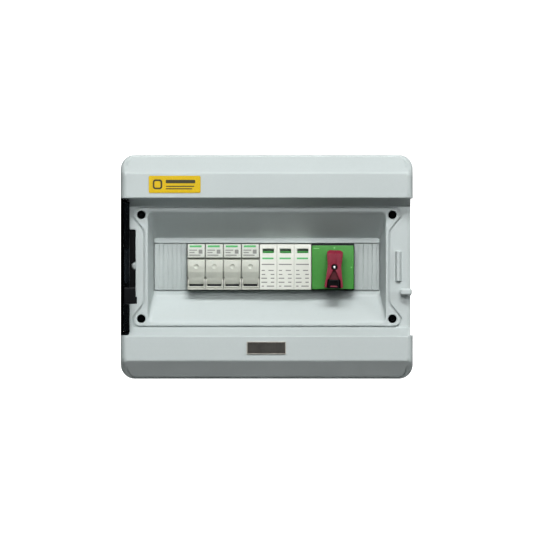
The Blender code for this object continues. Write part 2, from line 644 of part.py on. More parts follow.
def fuse_holders(body, lever, ceramic, copper):
    for i in range(FUSE_COUNT):
        index, x = i + 1, FUSE_LEFT + FUSE_PITCH * (i + 0.5)
        fuse_body(index, x, body)
        axis = axis_empty(f"fuse_axis_{index}", x, *CARRIER_PIVOT)
        carrier, link = fuse_carrier(index, x, lever), fuse_link(index, x, ceramic)
        hang_on(axis, carrier)
        link.parent = axis
        link.matrix_parent_inverse = Matrix.Translation(-axis.location)
        fuse_clips(index, x, copper)


def surge_protector(body, white, green):
    """A three-pole base with a plug-in cartridge in each pole."""
    width = SPD_PITCH * SPD_COUNT
    left, right = SPD_LEFT + 0.1, SPD_LEFT + width - 0.1
    base = side_profile("spd_base", shoulders(), (left, right))
    cut(base, block("spd_cavity", (left + 1.2, right - 1.2), (49.5, 70), (-23.0, 23.0)))
    for i in range(SPD_COUNT):
        x = SPD_LEFT + SPD_PITCH * (i + 0.5)
        for side in (-1, 1):
            z = sorted((side * 11.5, side * 16.5))
            cut(base, block(f"blade_slot_{i}_{side}", (x - 3.4, x + 3.4), (43, 51), z))
        terminal_holes(base, "spd", x)
        name = f"spd_module_{i + 1}"
        module = block(name, (x - 7.0, x + 7.0), (49.9, 70), (-22.6, 22.6))
        half = SPD_PITCH / 2 - 0.15
        head = block(f"{name}_head", (x - half, x + half), (SHOULDER + 0.4, SPD_FRONT), (-22.9, 22.6), 0.6, 2)
        add(module, head)
        cut(module, block(f"{name}_window", (x - 5.75, x + 5.75), (82.0, 90), (13.5, 18.2)))
        for side in (-1, 1):
            z = sorted((side * 12.0, side * 16.0))
            add(module, block(f"{name}_blade_{side}", (x - 3, x + 3), (44, 50.4), z))
        finish(module, name, white)
        flag = block(f"spd_flag_{i + 1}", (x - 5.4, x + 5.4), (82.3, 82.9), (13.9, 17.8))
        finish(flag, f"spd_flag_{i + 1}", green)
    finish(base, "spd_base", body)


def handle_outline(shrink=0.0):
    """The waisted grip, seen from the front, about the shaft."""
    stations = ((16.8, 6.2), (15.0, 7.5), (10.0, 7.7), (-1.5, 6.9), (-10.0, 7.6), (-18.0, 9.0), (-21.4, 9.2))
    right = [(HANDLE_X + half - shrink, HANDLE_Z + z) for z, half in stations]
    left = [(HANDLE_X - half + shrink, HANDLE_Z + z) for z, half in reversed(stations)]
    return right + left


def isolator(body, green, red, black, steel):
    nose = [(SHOULDER, -22.4), (79.8, -22.4), (79.8, 22.4), (SHOULDER, 22.4)]
    switch = side_profile("switch_body", shoulders() + nose, (SWITCH_LEFT + 0.2, SWITCH_RIGHT - 0.2))
    cut(switch, cylinder("shaft_way", (HANDLE_X, 60, HANDLE_Z), (0, 1, 0), 5.2, 60, 20))
    for x in (54.0, 78.0):
        terminal_holes(switch, "switch", x)
    finish(switch, "switch_body", body)
    face = block("switch_face", (SWITCH_LEFT, SWITCH_RIGHT), (80.1, 82.6), (-22.4, 21.4), 0.4, 1)
    cut(face, cylinder("face_hole", (HANDLE_X, 80, HANDLE_Z), (0, 1, 0), 5.6, 20, 20))
    finish(face, "switch_face", green)
    shaft = cylinder("switch_shaft", (HANDLE_X, 57.5, HANDLE_Z), (0, 1, 0), 4.8, 52, 20)
    finish(shaft, "switch_shaft", black)
    handle = front_profile("switch_handle", handle_outline(), (84.0, 101.0))
    tilt_top = [(96.5, 20), (96.5, 17.5), (101.5, 9.0), (103, 9.0), (103, 20)]
    cut(handle, side_profile("handle_slope", tilt_top, (50, 86)))
    groove = [(HANDLE_X + x, z) for x, z in ((-1.6, -4.0), (1.6, -4.0), (6.0, -13.0), (-6.0, -13.0))]
    cut(handle, front_profile("handle_groove", groove, (98.0, 103)))
    cut(handle, block("lock_way", (HANDLE_X - 7.0, HANDLE_X + 7.0), (86.4, 103), (-30, -12.4)))
    cut(handle, cylinder("screw_seat", (HANDLE_X, 100, HANDLE_Z), (0, 1, 0), 3.1, 8, 18))
    finish(handle, "switch_handle", red)
    lock = block("handle_lock", (HANDLE_X - 6.6, HANDLE_X + 6.6), (86.8, 98.6), (-21.6, -12.9), 0.6, 1)
    cut(lock, cylinder("padlock_eye", (HANDLE_X, 92.5, -18.2), (1, 0, 0), 2.6, 20, 14))
    finish(lock, "handle_lock", black)
    profile = [(0, 99.3), (2.0, 99.3), (2.7, 98.6), (2.7, 96.4), (0, 96.3)]
    screw = turned("handle_screw", profile, (HANDLE_X, 0, HANDLE_Z), (0, -1, 0), 16)
    upright = (HANDLE_Z - 3, HANDLE_Z + 3)
    cut(screw, block("handle_slot", (HANDLE_X - 0.4, HANDLE_X + 0.4), (98.5, 101), upright))
    finish(screw, "handle_screw", steel)
    axis = axis_empty("switch_axis", HANDLE_X, 0, HANDLE_Z)
    hang_on(axis, shaft, handle, lock)
    screw.parent = axis
    screw.matrix_parent_inverse = Matrix.Translation(-axis.location)


# Wiring inside the box


def busbar(name, tooth_xs, depth, bar_z, material):
    """A comb that feeds the top terminals at tooth_xs, its teeth stopping just short of them."""
    tooth, low = 2.4, BODY_HALF_HEIGHT + GAP
    outline = [(tooth_xs[0] - tooth, bar_z[1]), (tooth_xs[0] - tooth, low)]
    for x, after in zip(tooth_xs, [*tooth_xs[1:], None]):
        outline += [(x + tooth, low), (x + tooth, bar_z[0])] if after is not None else [(x + tooth, low)]
        if after is not None:
            outline += [(after - tooth, bar_z[0]), (after - tooth, low)]
    outline.append((tooth_xs[-1] + tooth, bar_z[1]))
    finish(front_profile(name, outline, depth), name, material)


def smooth_path(points, per_span=7):
    """Points on a smooth curve through the given ones."""
    ends = [points[0], *points, points[-1]]
    path = []
    for a, b, c, d in zip(ends, ends[1:], ends[2:], ends[3:]):
        a, b, c, d = (Vector(p) for p in (a, b, c, d))
        for i in range(per_span):
            t = i / per_span
            square = (2 * a - 5 * b + 4 * c - d) * t**2
            cube = (3 * b - a - 3 * c + d) * t**3
            path.append(0.5 * (2 * b + (c - a) * t + square + cube))
    return [tuple(p) for p in path] + [tuple(points[-1])]


def wiring(copper, brass, red, black, earth):
    fuse_x = [FUSE_LEFT + FUSE_PITCH * (i + 0.5) for i in range(FUSE_COUNT)]
    spd_x = [SPD_LEFT + SPD_PITCH * (i + 0.5) for i in range(SPD_COUNT)]
    low = BODY_HALF_HEIGHT + GAP
    busbar("busbar_positive", [fuse_x[0], fuse_x[2]], (49.6, 51.0), (47.0, 53.0), copper)
    busbar("busbar_negative", [fuse_x[1], fuse_x[3]], (44.6, 46.0), (47.0, 53.0), copper)
    pos, neg = fuse_x[2], fuse_x[3]
    top = 53.0 + GAP
    to_positive = [(pos, 50.3, top), (pos, 50, 70), (pos + 20, 48, 92), (20, 46, 96)]
    to_positive += [(48, 48, 84), (54, 50, 60), (54, 50, low)]
    to_negative = [(neg, 45.3, top), (neg, 44, 66), (neg + 16, 36, 82), (30, 34, 86)]
    to_negative += [(70, 42, 78), (78, 50, 60), (78, 50, low)]
    to_first_pole = [(pos + 7, 50.3, top), (pos + 8, 51, 62), (pos + 18, 52, 70)]
    to_first_pole += [(spd_x[0] - 4, 51, 64), (spd_x[0], 50, 52), (spd_x[0], 50, low)]
    to_last_pole = [(neg - 7, 45.3, top), (neg - 6, 42, 60), (neg + 10, 30, 68)]
    to_last_pole += [(spd_x[2] - 6, 38, 64), (spd_x[2], 50, 54), (spd_x[2], 50, low)]
    to_earth = [(spd_x[1], 50, -low), (spd_x[1], 49, -52), (30, 40, -66), (60, 24, -70)]
    to_earth += [(76, 16, -74), (78, 15, -81.6)]
    runs = {
        "wire_positive": (to_positive, 2.4, red),
        "wire_negative": (to_negative, 2.4, black),
        "wire_spd_positive": (to_first_pole, 1.7, red),
        "wire_spd_negative": (to_last_pole, 1.7, black),
        "wire_earth": (to_earth, 2.0, earth),
    }
    for name, (points, radius, material) in runs.items():
        finish(tube(name, smooth_path(points, 5), radius), name, material)
    bar = block("earth_bar", (60, 110), (10, 20), (-92, -82), 0.5, 1)
    for x in (70, 86, 100):
        cut(bar, cylinder(f"earth_hole_{x}", (x, 15, -82), (0, 0, 1), 2.2, 12, 12))
    finish(bar, "earth_bar", brass)


def build():
    clear_scene()
    shell = plastic("shell_light_grey", (0.61, 0.655, 0.65), 0.5)
    black = plastic("black_nylon", (0.012, 0.014, 0.017), 0.3)
    clear = plastic("clear_polycarbonate", (0.86, 0.9, 0.9), 0.08, 0.0, 0.3)
    steel = plastic("zinc_steel", (0.62, 0.63, 0.64), 0.3, 1.0)
    zinc = plastic("rail_zinc", (0.7, 0.71, 0.7), 0.38, 1.0)
    copper = plastic("tinned_copper", (0.72, 0.45, 0.3), 0.32, 1.0)
    brass = plastic("brass", (0.78, 0.62, 0.3), 0.34, 1.0)
    device = plastic("device_off_white", (0.66, 0.67, 0.6), 0.5)
    white = plastic("cartridge_white", (0.8, 0.8, 0.76), 0.5)
    green = plastic("switch_green", (0.06, 0.3, 0.05), 0.45)
    red = plastic("handle_red", (0.32, 0.035, 0.07), 0.5)
    dark = plastic("switch_dark", (0.05, 0.055, 0.06), 0.5)

    rear_base(shell)
    base_gasket(plastic("gasket_rubber", (0.02, 0.02, 0.02), 0.7))
    front_cover(shell)
    cover_screws(steel)
    yellow = plastic("label_yellow", (0.72, 0.55, 0.01), 0.4)
    plate_grey = plastic("plate_grey", (0.16, 0.16, 0.14), 0.35, 0.6)
    labels(yellow, plate_grey)
    blank_plates(shell)
    door(black, clear, steel)
    din_rail(zinc, steel)
    fuse_holders(device, device, plastic("fuse_ceramic", (0.75, 0.73, 0.68), 0.4), copper)
    surge_protector(device, white, green)
    isolator(dark, green, red, black, steel)
    red_wire = plastic("wire_red", (0.5, 0.02, 0.02), 0.4)
    earth_wire = plastic("wire_green_yellow", (0.25, 0.45, 0.05), 0.4)
    wiring(copper, brass, red_wire, black, earth_wire)


build()
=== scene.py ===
"""Looks for the DC combiner box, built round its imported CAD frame. Lengths on the object are in
millimetres, and a depth d is counted from the wall, so it lies at Y = -d. The camera and the lights are
placed in metres."""

import math

import bmesh
import bpy
from mathutils import Matrix, Vector


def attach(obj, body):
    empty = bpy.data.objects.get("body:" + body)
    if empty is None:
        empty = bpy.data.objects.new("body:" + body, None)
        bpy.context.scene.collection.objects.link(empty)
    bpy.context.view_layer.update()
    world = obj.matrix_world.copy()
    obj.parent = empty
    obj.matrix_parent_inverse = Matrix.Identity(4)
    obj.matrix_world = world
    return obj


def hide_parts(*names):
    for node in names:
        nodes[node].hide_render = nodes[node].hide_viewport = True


MM = 0.001
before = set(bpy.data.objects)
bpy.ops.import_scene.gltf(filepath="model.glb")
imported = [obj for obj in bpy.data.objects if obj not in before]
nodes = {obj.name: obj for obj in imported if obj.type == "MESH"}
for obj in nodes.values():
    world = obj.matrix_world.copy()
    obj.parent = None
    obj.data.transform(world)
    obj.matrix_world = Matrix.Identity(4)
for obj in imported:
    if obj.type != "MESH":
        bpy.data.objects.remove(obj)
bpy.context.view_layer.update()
scene = bpy.context.scene


def place(x, depth, z):
    return Vector((x, -depth, z)) * MM


# ---------------------------------------------------------------- materials


class Graph:
    """A material's nodes, with short calls to add and join them."""

    def __init__(self, name):
        self.material = bpy.data.materials.new(name)
        self.material.use_nodes = True
        self.tree = self.material.node_tree
        self.shader = self.tree.nodes["Principled BSDF"]
        self.where = self.tree.nodes.new("ShaderNodeTexCoord").outputs["Object"]

    def link(self, a, b):
        self.tree.links.new(a, b)

    def noise(self, scale, detail=3.0, rough=0.5, stretch=None):
        node = self.tree.nodes.new("ShaderNodeTexNoise")
        node.inputs["Scale"].default_value = scale
        node.inputs["Detail"].default_value = detail
        node.inputs["Roughness"].default_value = rough
        source = self.where
        if stretch:
            mapping = self.tree.nodes.new("ShaderNodeMapping")
            mapping.inputs["Scale"].default_value = stretch
            self.link(self.where, mapping.inputs["Vector"])
            source = mapping.outputs["Vector"]
        self.link(source, node.inputs["Vector"])
        return node.outputs["Fac"]

    def spread(self, value, low, high, start=0.3, end=0.7):
        node = self.tree.nodes.new("ShaderNodeMapRange")
        self.link(value, node.inputs["Value"])
        for key, number in (("From Min", start), ("From Max", end), ("To Min", low), ("To Max", high)):
            node.inputs[key].default_value = number
        return node.outputs["Result"]

    def blend(self, factor, first, second):
        node = self.tree.nodes.new("ShaderNodeMix")
        node.data_type = "RGBA"
        self.link(factor, node.inputs["Factor"])
        for socket, colour in ((node.inputs["A"], first), (node.inputs["B"], second)):
            if isinstance(colour, bpy.types.NodeSocket):
                self.link(colour, socket)
            else:
                socket.default_value = (*colour, 1.0)
        return node.outputs["Result"]

    def bump(self, height, strength, distance, normal=None):
        node = self.tree.nodes.new("ShaderNodeBump")
        node.inputs["Strength"].default_value = strength
        node.inputs["Distance"].default_value = distance
        self.link(height, node.inputs["Height"])
        if normal:
            self.link(normal, node.inputs["Normal"])
        return node.outputs["Normal"]

    def set(self, **sockets):
        for key, value in sockets.items():
            socket = self.shader.inputs[key.replace("_", " ")]
            if isinstance(value, bpy.types.NodeSocket):
                self.link(value, socket)
            else:
                socket.default_value = value
        return self


def tint(colour, by):
    return tuple(min(1.0, c * by) for c in colour)


def moulded(name, colour, rough=0.45, grain=2600.0, relief=0.12, mottle=0.025, coat=0.0, specular=0.4):
    """Moulded plastic: faint flow marks in its colour, a fine spark-eroded grain and patchy sheen."""
    g = Graph(name)
    flow = g.spread(g.noise(11.0, 4.0, 0.55), 0.0, 1.0)
    specks = g.spread(g.noise(420.0, 2.0), 0.0, 1.0, 0.35, 0.65)
    base = g.blend(flow, tint(colour, 1 - mottle), tint(colour, 1 + mottle))
    dusty = g.blend(specks, tint(colour, 1 - mottle * 1.4), tint(colour, 1 + mottle))
    shade = g.tree.nodes.new("ShaderNodeMix")
    shade.data_type = "RGBA"
    shade.inputs["Factor"].default_value = 0.35
    g.link(base, shade.inputs["A"])
    g.link(dusty, shade.inputs["B"])
    sheen = g.spread(g.noise(60.0, 3.0), rough - 0.05, rough + 0.06)
    skin = g.bump(g.noise(grain, 2.0, 0.6), relief, 0.00006)
    wave = g.bump(g.noise(38.0, 1.0), 0.12, 0.0002, skin)
    g.set(Base_Color=shade.outputs["Result"], Roughness=sheen, Normal=wave)
    g.set(Coat_Weight=coat, Coat_Roughness=0.18, Specular_IOR_Level=specular)
    return g.material


def metal(name, colour, rough=0.3, stretch=(1500.0, 1500.0, 40.0), relief=0.2, tarnish=0.12):
    """Drawn or turned metal: fine lines along its working direction and a little patchy tarnish."""
    g = Graph(name)
    lines = g.noise(1.0, 3.0, 0.6, stretch)
    patches = g.spread(g.noise(160.0, 4.0, 0.6), 0.0, 1.0, 0.4, 0.75)
    tone = g.blend(patches, colour, tint(colour, 1 - tarnish))
    g.set(Base_Color=tone, Metallic=1.0, Roughness=g.spread(lines, rough - 0.06, rough + 0.1))
    g.set(Normal=g.bump(lines, relief, 0.00003))
    return g.material


def rubbery(name, colour, rough=0.75):
    """Rubber or wire insulation: fine open cells in its colour and a matt skin."""
    g = Graph(name)
    cells = g.noise(900.0, 4.0, 0.7)
    tone = g.blend(g.spread(cells, 0.0, 1.0), tint(colour, 0.85), tint(colour, 1.25))
    g.set(Base_Color=tone, Roughness=g.spread(g.noise(90.0), rough - 0.08, rough + 0.08))
    g.set(Normal=g.bump(cells, 0.35, 0.0001))
    return g.material


def clear_plastic(name):
    """Clear moulded polycarbonate, very slightly grey, with faint flow waves and fine surface scuffs."""
    g = Graph(name)
    scuffs = g.spread(g.noise(1.0, 4.0, 0.7, (90.0, 90.0, 900.0)), 0.02, 0.07, 0.45, 0.8)
    tone = g.blend(g.spread(g.noise(9.0, 2.0), 0.0, 1.0), (0.93, 0.955, 0.955), (0.97, 0.985, 0.985))
    g.set(Base_Color=tone, Roughness=scuffs, Transmission_Weight=1.0, IOR=1.45)
    g.set(Specular_IOR_Level=0.25)
    absorption = g.tree.nodes.new("ShaderNodeVolumeAbsorption")
    absorption.inputs["Color"].default_value = (0.2, 0.3, 0.32, 1.0)
    absorption.inputs["Density"].default_value = 160.0
    g.link(absorption.outputs["Volume"], g.tree.nodes["Material Output"].inputs["Volume"])
    g.set(Normal=g.bump(g.noise(14.0, 1.0), 0.05, 0.0004))
    return g.material


def printed(name, colour, rough=0.5):
    """Ink: slightly broken in coverage, on a matt film."""
    g = Graph(name)
    worn = g.spread(g.noise(1800.0, 3.0, 0.7), 0.0, 1.0, 0.35, 0.75)
    g.set(Base_Color=g.blend(worn, colour, tint(colour, 1.35)))
    g.set(Roughness=g.spread(worn, rough, rough + 0.12))
    g.set(Normal=g.bump(worn, 0.1, 0.00002))
    return g.material


def banded_wire(name, first, second):
    """Insulation with a second colour running along one side of it."""
    g = Graph(name)
    stripes = g.tree.nodes.new("ShaderNodeTexWave")
    stripes.bands_direction = "DIAGONAL"
    stripes.inputs["Scale"].default_value = 60.0
    stripes.inputs["Distortion"].default_value = 1.5
    g.link(g.where, stripes.inputs["Vector"])
    g.set(Base_Color=g.blend(g.spread(stripes.outputs["Fac"], 0, 1, 0.45, 0.55), first, second))
    g.set(Roughness=g.spread(g.noise(120.0), 0.38, 0.5), Normal=g.bump(g.noise(1500.0), 0.1, 0.00005))
    return g.material


SHELL = moulded("shell_grey", (0.43, 0.467, 0.464), 0.5, 2200.0, 0.1, 0.015)
BASE_SHELL = moulded("base_grey", (0.42, 0.46, 0.455), 0.55, 1500.0, 0.25, 0.03)
RIBBED = moulded("blank_grey", (0.40, 0.435, 0.43), 0.5, 2200.0, 0.12, 0.02)
BLACK = moulded("black_nylon", (0.003, 0.004, 0.0055), 0.4, 1800.0, 0.12, 0.2, 0.0, 0.2)
BARREL = moulded("barrel_black", (0.006, 0.01, 0.014), 0.34, 1800.0, 0.12, 0.15, 0.0, 0.3)
CLEAR = clear_plastic("clear_polycarbonate")
GASKET = rubbery("gasket_rubber", (0.02, 0.02, 0.021))
OFF_WHITE = moulded("device_off_white", (0.455, 0.47, 0.425), 0.42, 3000.0, 0.1, 0.03)
BODY_WHITE = moulded("device_body_white", (0.45, 0.46, 0.42), 0.45, 3000.0, 0.12, 0.03)
CARTRIDGE = moulded("cartridge_white", (0.60, 0.615, 0.57), 0.42, 3000.0, 0.08, 0.02)
LABEL_WHITE = printed("label_white", (0.43, 0.45, 0.415), 0.4)
GREEN = moulded("switch_green", (0.068, 0.25, 0.058), 0.36, 2600.0, 0.12, 0.06, 0.1)
RED = moulded("handle_red", (0.215, 0.028, 0.052), 0.42, 2000.0, 0.18, 0.07)
# A darker copy of the handle's red, painted on the vee's floor as the shade in the recess.
RED_PAINTED_SHADE = moulded("handle_recess_painted_shade", (0.09, 0.006, 0.014), 0.45, 2000.0, 0.18, 0.07)
# Its own colour on the isolator's body and shaft; on the fuse grips' slot bars it is painted shade.
DARK_PLASTIC_AND_SHADE = moulded("dark_grey_plastic_and_painted_shade", (0.035, 0.038, 0.042), 0.4, 2200.0, 0.15, 0.1)
BOLT = metal("black_oxide_steel", (0.07, 0.075, 0.08), 0.34, (1200.0, 1200.0, 1200.0))
STEEL = metal("zinc_steel", (0.62, 0.63, 0.63), 0.3, (1200.0, 1200.0, 1200.0))
RAIL = metal("rail_zinc", (0.66, 0.68, 0.67), 0.34, (30.0, 1500.0, 1500.0))
COPPER = metal("copper", (0.7, 0.42, 0.28), 0.3, (60.0, 1200.0, 1200.0), 0.15, 0.25)
BRASS = metal("brass", (0.72, 0.55, 0.25), 0.32, (60.0, 1200.0, 1200.0), 0.15, 0.2)
CERAMIC = moulded("ceramic_glaze", (0.78, 0.76, 0.7), 0.25, 900.0, 0.1, 0.03, 0.3)
INK_GREEN = printed("ink_green", (0.1, 0.36, 0.14))
INK_GREY = printed("ink_grey", (0.21, 0.215, 0.205))
INK_DARK = printed("ink_dark", (0.05, 0.045, 0.02))
MARK_GREEN = printed("mark_pale_green", (0.15, 0.36, 0.13))
YELLOW = printed("label_yellow", (0.47, 0.335, 0.002), 0.32)
PLATE = metal("plate_foil", (0.07, 0.068, 0.063), 0.42, (1800.0, 1800.0, 60.0), 0.25, 0.2)
PLATE_EDGE = metal("plate_border", (0.38, 0.37, 0.34), 0.38, (1800.0, 1800.0, 60.0), 0.2, 0.15)
# The flag's green darkened: painted shade on the flag's upper part and behind it in its window.
FLAG_PAINTED_SHADE = printed("flag_green_painted_shade", (0.004, 0.03, 0.006), 0.3)
FLAG_LIGHT = printed("flag_green", (0.035, 0.21, 0.045), 0.35)
WIRE_RED = rubbery("wire_red", (0.42, 0.015, 0.012), 0.45)
WIRE_BLACK = rubbery("wire_black", (0.012, 0.012, 0.013), 0.45)
WIRE_EARTH = banded_wire("wire_green_yellow", (0.03, 0.24, 0.03), (0.6, 0.55, 0.02))


# ---------------------------------------------------------------- geometry


def loose(name, shape):
    bmesh.ops.recalc_face_normals(shape, faces=shape.faces)
    mesh = bpy.data.meshes.new(name)
    shape.to_mesh(mesh)
    shape.free()
    made = bpy.data.objects.new(name, mesh)
    scene.collection.objects.link(made)
    return made


def rounded_ring(x0, x1, z0, z1, radius, depth, steps):
    """Points of a rounded rectangle, counted round from its right side."""
    points = []
    for cx, cz, start in (
        (x1 - radius, z1 - radius, 0),
        (x0 + radius, z1 - radius, 90),
        (x0 + radius, z0 + radius, 180),
        (x1 - radius, z0 + radius, 270),
    ):
        for i in range(steps + 1):
            angle = math.radians(start + 90 * i / steps)
            points.append(place(cx + radius * math.cos(angle), depth, cz + radius * math.sin(angle)))
    return points


def skin_rings(name, rings, closed_ends=True):
    """A solid skinned over rings of equal numbers of points."""
    shape = bmesh.new()
    rows = [[shape.verts.new(p) for p in ring] for ring in rings]
    count = len(rows[0])
    for lower, upper in zip(rows, rows[1:]):
        for i in range(count):
            j = (i + 1) % count
            shape.faces.new((lower[i], lower[j], upper[j], upper[i]))
    if closed_ends:
        shape.faces.new(rows[0])
        shape.faces.new(list(reversed(rows[-1])))
    return loose(name, shape)


def loft(name, stations, steps=8):
    """Stations are (x0, x1, z0, z1, radius, depth)."""
    return skin_rings(name, [rounded_ring(*s, steps) for s in stations])


def bar(name, x, z, depth, radius=1.0, edge=0.4, back_edge=0.0, steps=5, arcs=4):
    """A block with rounded corners, a rounded front rim and, if asked for, a rounded back rim."""
    stations = []
    for rim, front in ((back_edge, False), (edge, True)):
        turns = [math.radians(90 * i / arcs) for i in range(arcs + 1)] if rim else [0.0]
        for angle in turns if front else reversed(turns):
            inset = rim * (1 - math.cos(angle))
            level = rim * (1 - math.sin(angle))
            at = depth[1] - level if front else depth[0] + level
            r = max(radius - inset, 0.02)
            stations.append((x[0] + inset, x[1] - inset, z[0] + inset, z[1] - inset, r, at))
    return loft(name, stations, steps)


def fillet(corners, steps=4):
    """An outline whose corners (a, b, radius) are rounded with arcs."""
    outline = []
    count = len(corners)
    for i, (a, b, radius) in enumerate(corners):
        point = Vector((a, b))
        before = (Vector(corners[i - 1][:2]) - point).normalized()
        after = (Vector(corners[(i + 1) % count][:2]) - point).normalized()
        if not radius:
            outline.append((a, b))
            continue
        half = before.angle(after) / 2
        reach = radius / math.tan(half)
        middle = point + (before + after).normalized() * (radius / math.sin(half))
        first, last = point + before * reach - middle, point + after * reach - middle
        sweep = first.angle_signed(last)
        for k in range(steps + 1):
            turned = first.copy()
            turned.rotate(Matrix.Rotation(-sweep * k / steps, 2))
            outline.append(tuple(middle + turned))
    return outline


def weld(made):
    """Joins points that lie on each other, as where a ring closes on itself."""
    shape = bmesh.new()
    shape.from_mesh(made.data)
    bmesh.ops.remove_doubles(shape, verts=shape.verts, dist=1e-7)
    bmesh.ops.recalc_face_normals(shape, faces=shape.faces)
    shape.to_mesh(made.data)
    shape.free()
    return made


def offset_outline(outline, offset):
    """The outline moved outwards by offset, for one that runs clockwise."""
    moved = []
    count = len(outline)
    for i, (a, b) in enumerate(outline):
        before = Vector((a, b)) - Vector(outline[i - 1])
        after = Vector(outline[(i + 1) % count]) - Vector((a, b))
        along = (before.normalized() + after.normalized()).normalized()
        half = before.angle(after) / 2 if before.length and after.length else 0.0
        reach = offset / max(math.cos(half), 0.4)
        moved.append((a - along.y * reach, b + along.x * reach))
    return moved


def side_prism(name, outline, x):
    """A (depth, height) outline run between two X values."""
    return skin_rings(name, [[place(at, d, z) for d, z in outline] for at in x])


def front_prism(name, outline, depths):
    """An (x, z) outline run between two depths."""
    return skin_rings(name, [[place(px, at, pz) for px, pz in outline] for at in depths])


def spun(name, profile, centre, axis="depth", steps=32):
    """A (radius, height) profile turned about an axis through centre, along the depth, X or Z."""
    turn = {
        "depth": lambda c, s, h: (c, h, s),
        "x": lambda c, s, h: (h, c, s),
        "z": lambda c, s, h: (c, s, h),
    }[axis]
    rings = []
    for radius, height in profile:
        ring = []
        for i in range(steps):
            angle = 2 * math.pi * i / steps
            dx, dd, dz = turn(radius * math.cos(angle), radius * math.sin(angle), height)
            ring.append(place(centre[0] + dx, centre[1] + dd, centre[2] + dz))
        rings.append(ring)
    return skin_rings(name, rings)


def evaluated(made):
    graph = bpy.context.evaluated_depsgraph_get()
    mesh = bpy.data.meshes.new_from_object(made.evaluated_get(graph))
    made.modifiers.clear()
    made.data = mesh
    return made


def carve(base, tools, operation="DIFFERENCE"):
    for tool in tools:
        change = base.modifiers.new("carve", "BOOLEAN")
        change.operation = operation
        change.object = tool
    evaluated(base)
    for tool in tools:
        bpy.data.objects.remove(tool)
    return base


def soft_edges(made, width, segments=2, angle=35):
    change = made.modifiers.new("soft_edges", "BEVEL")
    change.width = width * MM
    change.segments = segments
    change.limit_method = "ANGLE"
    change.angle_limit = math.radians(angle)
    change.harden_normals = False
    change.miter_outer = "MITER_ARC"
    return evaluated(made)


def finish_piece(made, name, material, body, stands_for=(), sharp=32):
    made.name = name
    made.data.name = name
    made.data.materials.clear()
    for each in material if isinstance(material, list) else [material]:
        made.data.materials.append(each)
    made.data.shade_smooth()
    made.data.set_sharp_from_angle(angle=math.radians(sharp))
    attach(made, body)
    if stands_for:
        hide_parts(*stands_for)
    return made


def even_shading(made):
    """Lets the large faces set the shading, so that narrow fillets don't streak them."""
    change = made.modifiers.new("even_shading", "WEIGHTED_NORMAL")
    change.keep_sharp = True
    change.weight = 80


def joined(pieces):
    """One object of several, each keeping its own material slot."""
    shape = bmesh.new()
    materials = []
    for piece, material in pieces:
        if material not in materials:
            materials.append(material)
        start = len(shape.faces)
        shape.from_mesh(piece.data)
        shape.faces.ensure_lookup_table()
        for face in shape.faces[start:]:
            face.material_index = materials.index(material)
        bpy.data.objects.remove(piece)
    mesh = bpy.data.meshes.new("joined")
    shape.to_mesh(mesh)
    shape.free()
    made = bpy.data.objects.new("joined", mesh)
    scene.collection.objects.link(made)
    return made, materials


def finish_joined(pieces, name, body, stands_for=(), sharp=32):
    made, materials = joined(pieces)
    indices = [p.material_index for p in made.data.polygons]
    finish_piece(made, name, materials, body, stands_for, sharp)
    made.data.polygons.foreach_set("material_index", indices)
    return made


def keep(node, material, edge=0.0, segments=2, flat=3.0, sharp=35):
    """A CAD node that stays: its triangles are joined back into faces, its edges softened, its look set."""
    made = nodes[node]
    made.data.materials.clear()
    made.data.materials.append(material)
    merging = made.modifiers.new("weld", "WELD")
    merging.merge_threshold = 1e-6
    if edge:
        faces = made.modifiers.new("faces", "DECIMATE")
        faces.decimate_type = "DISSOLVE"
        faces.angle_limit = math.radians(flat)
        bevel = made.modifiers.new("edges", "BEVEL")
        bevel.width = edge * MM
        bevel.segments = segments
        bevel.limit_method = "ANGLE"
        bevel.angle_limit = math.radians(sharp)
    made.data.shade_smooth()
    made.data.set_sharp_from_angle(angle=math.radians(sharp))
    if edge:
        even_shading(made)
    return made


# ---------------------------------------------------------------- front cover

HALF_X, HALF_Z = 146.0, 112.0
CORNER_RADIUS = 14.0

# Depths: the bands' flat, where their outer slope meets the flank, the sunk panel, the window, the rear.
FRONT, SHOULDER, PANEL, WINDOW, REAR = 114.0, 96.2, 95.0, 69.0, 60.0

# Heights from the middle: each band's inner edge and outer crease, and the sunk panel's edge.
BAND_INNER, BAND_CREASE, PANEL_HALF = 69.0, 94.0, 60.5

# The front rim's radius along top and bottom, and how much it gains at the sides.
RIM, RIM_GAIN = 2.0, 4.6

SCREW_X, SCREW_Z = 125.7, 52.0
CORNERS = ((-1, 1), (1, 1), (-1, -1), (1, -1))


def recess_half(depth):
    return PANEL_HALF + (depth - PANEL) * (BAND_INNER - PANEL_HALF) / (FRONT - PANEL)


def front_outline():
    """The cover's front from the side, from its lower rear edge up to its upper one."""
    half = [
        (REAR, HALF_Z, 0),
        (SHOULDER, HALF_Z, 2.2),
        (FRONT, BAND_CREASE, 3.2),
        (FRONT, BAND_INNER, 1.7),
        (PANEL, PANEL_HALF, 1.3),
    ]
    return fillet([(d, -z, r) for d, z, r in half] + [(d, z, r) for d, z, r in reversed(half)], 5)


def front_depth(z):
    """The front surface's depth at a height, before its creases are rounded."""
    z = abs(z)
    if z >= BAND_CREASE:
        return FRONT - (z - BAND_CREASE) * (FRONT - SHOULDER) / (HALF_Z - BAND_CREASE)
    if z >= BAND_INNER:
        return FRONT
    return max(PANEL, PANEL + (z - PANEL_HALF) * (FRONT - PANEL) / (BAND_INNER - PANEL_HALF))


